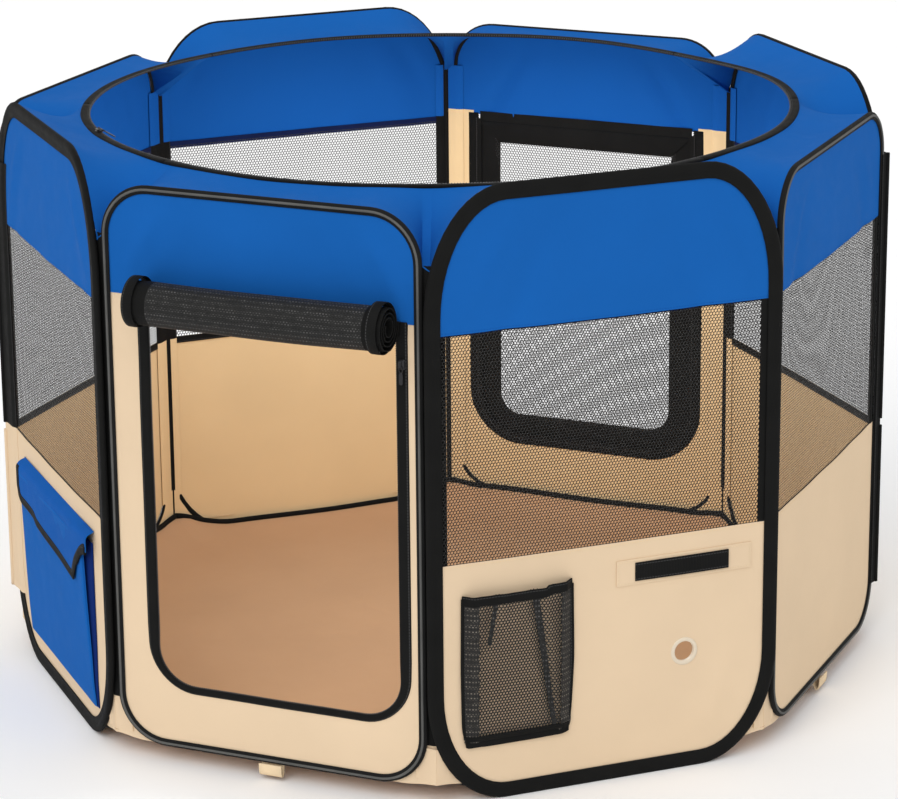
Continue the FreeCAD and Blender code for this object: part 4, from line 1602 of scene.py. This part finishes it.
def corner_strips():
    """The cloth hinges between neighbouring hoops."""
    for corner, ender, starter in CORNERS:
        angle = 2 * HALF_TURN * corner
        radial = np.array([math.cos(angle), math.sin(angle), 0.0])
        axis = radial * corner_axis(corner)
        z_line = spaced(GUSSET_LOW + 6, COLLAR_V + 8, 60)
        if corner in OUTSIDE_CORNERS:
            outside_strip(corner, ender, starter, axis)
            continue
        sides, zones = [], []
        for panel, at_end in ((ender, True), (starter, False)):
            grid = []
            for d, n in strip_places(panel, at_end):
                place_s = SIDE - 1.5 - d if at_end else 1.5 + d
                grid.append([(place_s, z, n) for z in z_line])
            sides.append(place(panel, np.array(grid)))
            zones.append(np.array([zone_slots(z_line, panel)]))
        sides[0] = sides[0][::-1]
        centre = radial * (RADIUS - 4.8 / math.cos(HALF_TURN))
        ridge = (centre + UP * z_line[:, None])[None]
        black = np.zeros_like(zones[0])
        first = [zones[0]] * 5 + [black]
        second = [black] + [zones[1]] * 5
        if corner == OPEN_CORNER:
            for panel, grid, slots in (
                (ender, np.concatenate([sides[0], ridge]), first + [black]),
                (starter, np.concatenate([ridge, sides[1]]), second + [black]),
            ):
                name = f"corner_strip_{corner}_panel_{panel}"
                half = strip_of(name, grid, slots, radial)
                ride(half, f"panel_{panel}")
            bead = tube(f"corner_bead_{corner}", ridge[0], 2.4, ["seam"])
            ride(bead, f"panel_{starter}")
            continue
        grid = np.concatenate([sides[0], ridge, sides[1]])
        strip = strip_of(f"corner_strip_{corner}", grid, first + second + [black], radial)
        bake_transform(strip)


def strip_of(name, grid, slots, radial):
    """A strip whose inner face has its zones' cloth, and whose outer face is black binding."""
    slot = np.concatenate(slots)[: len(grid)]
    strip = cloth(name, grid, ["seam", "blue_in_painted_shade", "beige_in_painted_bounce_light", "beige"], 0.7, slot=slot)
    outside = Vector(radial)
    for polygon in strip.data.polygons:
        low = polygon.center.z < (GUSSET_TOP + 2.0) * MM
        if polygon.normal.dot(outside) > (0.2 if low else 0.6):
            polygon.material_index = 3 if low else 0
    return strip


def hoop_side(panel, z, at_end):
    """Place along the panel of its hoop's outer edge at a height."""
    left, right, low, high = HOOPS[panel]
    (bx, bz), (tx, tz) = corners_of(panel, 0)
    inward = bx * quarter_drop(1 - (z - low) / bz) + tx * quarter_drop(1 - (high - z) / tz)
    return right - inward if at_end else left + inward


def outside_strip(corner, ender, starter, axis):
    """At the two corners that fold outside in, the hinge is a rolled bead outside the hoops."""
    z_line = spaced(GUSSET_TOP + 2, COLLAR_V + 6, 60)
    bead_line = axis + UP * z_line[:, None]
    lapped = (corner, starter) in OUTER_REACH
    for panel, at_end in ((ender, True), (starter, False)):
        edge = hoop_side(panel, z_line, at_end)
        sign = -1.0 if at_end else 1.0
        reach = OUTER_REACH.get((corner, panel), NARROW_REACH)
        columns = []
        lifts = ((1.0, 3.5), (0.75, 3.9), (0.5, 4.1), (0.25, 4.2), (0.05, 4.4))
        wide = reach > NARROW_REACH
        if wide:
            lifts = ((1.3, 0.9), (1.1, 1.4), (0.93, 3.4)) + lifts[1:]
        for share, lift in lifts:
            s = edge + sign * reach * share
            columns.append(np.column_stack([s, z_line, np.full_like(s, lift)]))
        rows = np.concatenate([place(panel, np.array(columns)), bead_line[None]])
        slot = np.where(z_line < MESH_FROM, 1, 0) if wide else 0
        name = f"corner_strip_{corner}_panel_{panel}"
        half = cloth(name, rows, ["seam", "beige"], 0.8, slot=slot)
        ride(half, f"panel_{panel}")
        if panel != starter:
            continue
        lower = z_line < MESH_FROM
        for part, chosen, material in (
            ("low", bead_line[lower], "beige" if lapped else "seam"),
            ("high", bead_line[~lower], "seam"),
        ):
            bead = tube(f"corner_bead_{corner}_{part}", chosen, 2.6, [material])
            ride(bead, f"panel_{panel}")


def gussets():
    """Beige cloth in the gaps that the rounded hoops leave at the bottom corners."""
    for corner, ender, starter in CORNERS:
        radius = RADIUS - 3.0 if corner in OUTSIDE_CORNERS else corner_axis(corner)
        for panel, at_end in ((ender, True), (starter, False)):
            left, right, _, _ = HOOPS[panel]
            inset = GUSSET_INSET
            outward, _ = axes(panel)
            hinge = local(panel, radial_point(corner, radius))
            reach = left + inset + corners_of(panel, inset)[0][0]
            t = np.linspace(0, 1, 30)
            s = hinge[0] + (-reach if at_end else reach) * t
            inside = np.clip(s, left + inset, right - inset)
            high = np.minimum(hoop_curve(panel, inside, inset, False), GUSSET_TOP)
            lift = 1 - smooth(t * reach / CORNER_REACH)
            foot = GUSSET_LOW - 2.5 + CORNER_LIFT * lift
            high = np.maximum(high, foot + 0.6)
            share = np.linspace(0, 1, 6)[:, None]
            z = foot + (high - foot) * share
            fade = smooth(t * reach / 24.0)
            out = hinge[2] + (-2.6 - hinge[2]) * fade + 0 * z
            grid = np.stack([np.broadcast_to(s, z.shape), z, out], -1)
            name, points = f"gusset_{corner}_panel_{panel}", place(panel, grid)
            piece = cloth(name, points, ["beige", "beige_in_painted_bounce_light"], 0.8, grid[..., :2] * MM)
            for polygon in piece.data.polygons:
                polygon.material_index = int(polygon.normal.dot(Vector(outward)) < 0)
            ride(piece, f"panel_{panel}")
            area = sheet_area(piece)
            stretched(reach * MM, 1.6 * area / (reach * MM), area)


def radial_point(corner, radius):
    angle = 2 * HALF_TURN * corner
    return np.array([radius * math.cos(angle), radius * math.sin(angle), 0.0])


# ---- roof collar
def collar_outer(panel, count=64):
    """The collar's outer edge on a panel's hoop, from one corner's point to the other's."""
    left, right, _, high = HOOPS[panel]
    inset = 1.6
    tx, tz = corners_of(panel, inset)[1]
    start = quarter((left + inset + tx, high - inset - tz), (tx, tz), 90, 40)[::-1]
    end = quarter((right - inset - tx, high - inset - tz), (tx, tz), 0, 40)[::-1]
    line = np.concatenate([start, straight(start[-1], end[0], 20), end])
    line = line[line[:, 1] > COLLAR_V + 6]
    first = np.array([[0.0, COLLAR_V]])
    last = np.array([[SIDE, COLLAR_V]])
    line = np.concatenate([first, line, last])
    line[:, 0] = np.clip(line[:, 0], 0, SIDE)
    line = resampled(line, np.linspace(0, lengths(line)[-1], count))
    out = -2.4 - 1.6 * np.clip(1 - np.minimum(line[:, 0], SIDE - line[:, 0]) / 8.0, 0, 1)
    return np.column_stack([line, out])


def roof_collar():
    """The blue ring round the open top, one piece for each panel, sewn along the corners."""
    ring_low, ring_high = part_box("collar_zip_tape")
    ring_radius = ring_high.x / MM
    ring_z = (ring_low.z + ring_high.z) / 2 / MM
    count, rows = 64, 14
    for panel in HOOPS:
        outer_local = collar_outer(panel, count)
        outer = place(panel, outer_local)
        middle = math.radians(FIRST_NORMAL) + 2 * HALF_TURN * (panel - 1)
        run = lengths(outer_local[:, :2])
        share = outer_local[:, 0] / SIDE
        share = 0.5 * share + 0.5 * run / run[-1]
        turn = middle + (share - 0.5) * 2 * HALF_TURN
        wave_out, wave_up = ring_wave(turn)
        radius = ring_radius + wave_out
        inner = np.column_stack(
            [radius * np.cos(turn), radius * np.sin(turn), ring_z + wave_up]
        )
        t = np.linspace(0, 1, rows)[:, None, None]
        points = outer + (inner - outer) * t
        flat = t[..., 0]
        sag = -COLLAR_SAG * np.sin(math.pi * flat) * np.sin(math.pi * share) ** 0.5
        folds = 1.1 * np.sin(share * 21 + panel) * np.sin(math.pi * flat)
        folds = folds * np.sin(math.pi * share)
        points[..., 2] += sag + folds
        across = np.broadcast_to(run * MM, (rows, count))
        uv = np.stack([across, flat * 0.07 + 0 * across], -1)
        name, materials = f"collar_{panel}", ["blue", "blue_in_painted_shade"]
        piece = cloth(name, points, materials, CLOTH_THICK, uv, merge=True, back=1)
        point_up(piece)
        if panel == 3:
            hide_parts("roof_collar", "collar_zip_tape")
        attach(piece, f"panel_{panel}")
        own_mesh(piece)
        ring_arc(panel, middle, ring_radius, ring_z)


def point_up(obj):
    """Turns a closed sheet right side out, with its outer cloth above."""
    top = [p for p in obj.data.polygons if p.material_index == 0]
    lean = sum(p.normal.z * p.area for p in top)
    if lean < 0:
        for polygon in obj.data.polygons:
            polygon.material_index = 1 - min(polygon.material_index, 1)


def ring_wave(turn):
    """How far the collar's soft edge strays from a level circle: outwards, and up."""
    stray = 0.5 - 0.5 * np.cos(turn - ZIP_ENDS)
    out = stray * (1.9 * np.sin(3 * turn + 0.6) + 1.5 * np.sin(5 * turn + 2.0)) - 1.0
    up = stray * (1.7 * np.sin(4 * turn + 1.1) + 1.2 * np.sin(7 * turn))
    return out, up


def ring_arc(panel, middle, radius, height):
    """One panel's share of the black binding and zip round the collar's opening."""
    turn = middle + np.linspace(-1, 1, 31) * HALF_TURN
    section = (
        (-6.5, 0.2), (-6.0, 1.5), (-3.0, 1.9), (1.0, 2.1), (2.6, 1.4), (3.0, 0.0), (2.6, -1.2),
        (0.0, -1.6), (-5.5, -1.2),
    )
    rows = []
    wave_out, wave_up = ring_wave(turn)
    for inward, up in section:
        r = radius + inward + 0.4 + wave_out
        rows.append(np.column_stack([r * np.cos(turn), r * np.sin(turn), height + up + wave_up]))
    binding = bar(f"collar_binding_{panel}", np.array(rows), ["tape"])
    steps = np.arange(0, 2 * HALF_TURN, TOOTH_TURN)
    at = middle - HALF_TURN + TOOTH_TURN / 2 + steps
    at = at[at < middle + HALF_TURN - 0.002]
    wave_out, wave_up = ring_wave(at)
    r = radius - 6.6 + wave_out
    centres = np.column_stack([r * np.cos(at), r * np.sin(at), height + 0.7 + wave_up])
    radial = np.column_stack([np.cos(at), np.sin(at), 0 * at])
    ahead = np.column_stack([-np.sin(at), np.cos(at), 0 * at])
    up = np.broadcast_to(UP, radial.shape)
    size = (1.7, 2.2, 1.8)
    teeth = small_boxes(f"collar_teeth_{panel}", centres, ahead, radial, up, size, ["teeth"])
    for piece in (binding, teeth):
        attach(piece, f"panel_{panel}")
        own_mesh(piece)


def collar_slider():
    low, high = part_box("collar_zip_slider")
    middle = (low + high) / 2 / MM
    angle = math.atan2(middle.y, middle.x)
    radial = np.array([math.cos(angle), math.sin(angle), 0.0])
    ahead = np.array([-radial[1], radial[0], 0.0])
    radius = math.hypot(middle.x, middle.y)
    wave_out, wave_up = ring_wave(np.array(angle))
    origin = radial * (radius - 2.0 + wave_out) - ahead * 4.0
    origin[2] = low.z / MM + 0.6 + wave_up
    inwards = -radial * 0.83 + ahead * 0.2 - UP * 0.52
    inwards /= np.linalg.norm(inwards)
    level = np.cross(inwards, UP)
    level /= np.linalg.norm(level)
    outward, _ = axes(1)
    anchor = to_metres(place(1, [SIDE / 2, 0, -4.0]))
    slider_piece(
        "collar_zip_pull",
        origin,
        radial,
        -ahead,
        UP,
        "collar_zip_slider",
        "collar_zip",
        squash=(tuple(outward), anchor, 0.02),
        hang=(level, -inwards, np.cross(level, -inwards)),
    )


# ---- floor
def floor_height(panel, s, depth):
    """Height of the floor cloth: flat in the middle, curled up to its seam at the edge."""
    seam = seam_height(panel, s)
    curl = np.exp(-((np.maximum(depth, 0) / FLOOR_CURL) ** 1.5))
    ripple = 0.8 * np.sin(s / 31.0 + panel) * np.exp(-depth / 90.0)
    slack = 1.0 * np.sin(depth / 41.0) ** 2 * np.sin(s / 67.0) ** 2
    return FLOOR_MID + (seam - FLOOR_MID) * curl + np.abs(ripple) * (1 - curl) + slack * (1 - curl)


def seam_height(panel, s):
    """Height of the floor's seam, which is highest at the corners."""
    own = FLOOR_EDGE[panel in TAPED]
    corner = FLOOR_EDGE[False]
    from_corner = np.minimum(s, SIDE - s)
    near = smooth(np.clip(1 - from_corner / 80.0, 0, 1))
    lift = CORNER_LIFT * (1 - smooth(from_corner / CORNER_REACH))
    return own + (corner - own) * near + lift + 0.8 * np.sin(s / 37.0) * (1 - near)


def floor():
    """The floor cloth in eight sectors, each sewn to its panel, and the binding of its seam."""
    rows, cols = 40, 40
    for panel in HOOPS:
        edge_out = -FLOOR_CLEARANCE
        t = (1 - (1 - np.linspace(0, 1, rows)) ** 0.6)[:, None]
        share = np.linspace(0, 1, cols)[None, :]
        depth = t * (APOTHEM + edge_out)
        width = 1 - t
        half = (APOTHEM + edge_out) * math.tan(HALF_TURN)
        s = SIDE / 2 + (share - 0.5) * 2 * half * width
        full_s = SIDE / 2 + (share - 0.5) * 2 * half + 0 * s
        edge_blend = 4 * share * (1 - share)
        z = floor_height(panel, full_s, depth)
        rise = FLOOR_EDGE[False] + CORNER_LIFT - FLOOR_MID
        plain = FLOOR_MID + rise * np.exp(-((depth / FLOOR_CURL) ** 1.5))
        z = plain + (z - plain) * smooth(edge_blend * 3)
        skin = Skin()
        grid = np.stack([s, z, edge_out - depth + 0 * s], -1)
        points = place(panel, grid[:-1])
        skin.grid(points, points[..., :2] * MM)
        hub = skin.add_points([[0, 0, FLOOR_MID]])
        last = (rows - 2) * cols
        for k in range(cols - 1):
            skin.faces.append([last + k, last + k + 1, hub])
            skin.uvs.append((points[-1, [k, k + 1, k], :2] * MM).tolist())
            skin.slots.append(0)
        sector = skin.make(f"floor_cloth_{panel}", ["floor"], 1.1, merge=True)
        if panel == 3:
            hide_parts("floor_sheet")
        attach(sector, f"panel_{panel}")
        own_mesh(sector)
        s_line = spaced(3, SIDE - 3, 60)
        from_corner = np.minimum(s_line, SIDE - s_line)
        seam_out = -5.6 - 2.0 * (1 - smooth(from_corner / 28.0))
        seam = np.column_stack([s_line, seam_height(panel, s_line) + 2.0, seam_out])
        bead = tube(f"floor_seam_{panel}", place(panel, seam), 2.6, ["seam"], flat=1.5)
        ride(bead, f"panel_{panel}")
        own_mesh(bead)


hoops()
blue_bands()
walls()
windows()
seam_tapes()
seam_stitches()
door_rims()
door_roll()
rear_door()
door_sliders()
side_pocket()
side_flap()
mesh_pocket()
bottle_strap()
grommet()
ground_tabs()
corner_strips()
gussets()
roof_collar()
collar_slider()
floor()
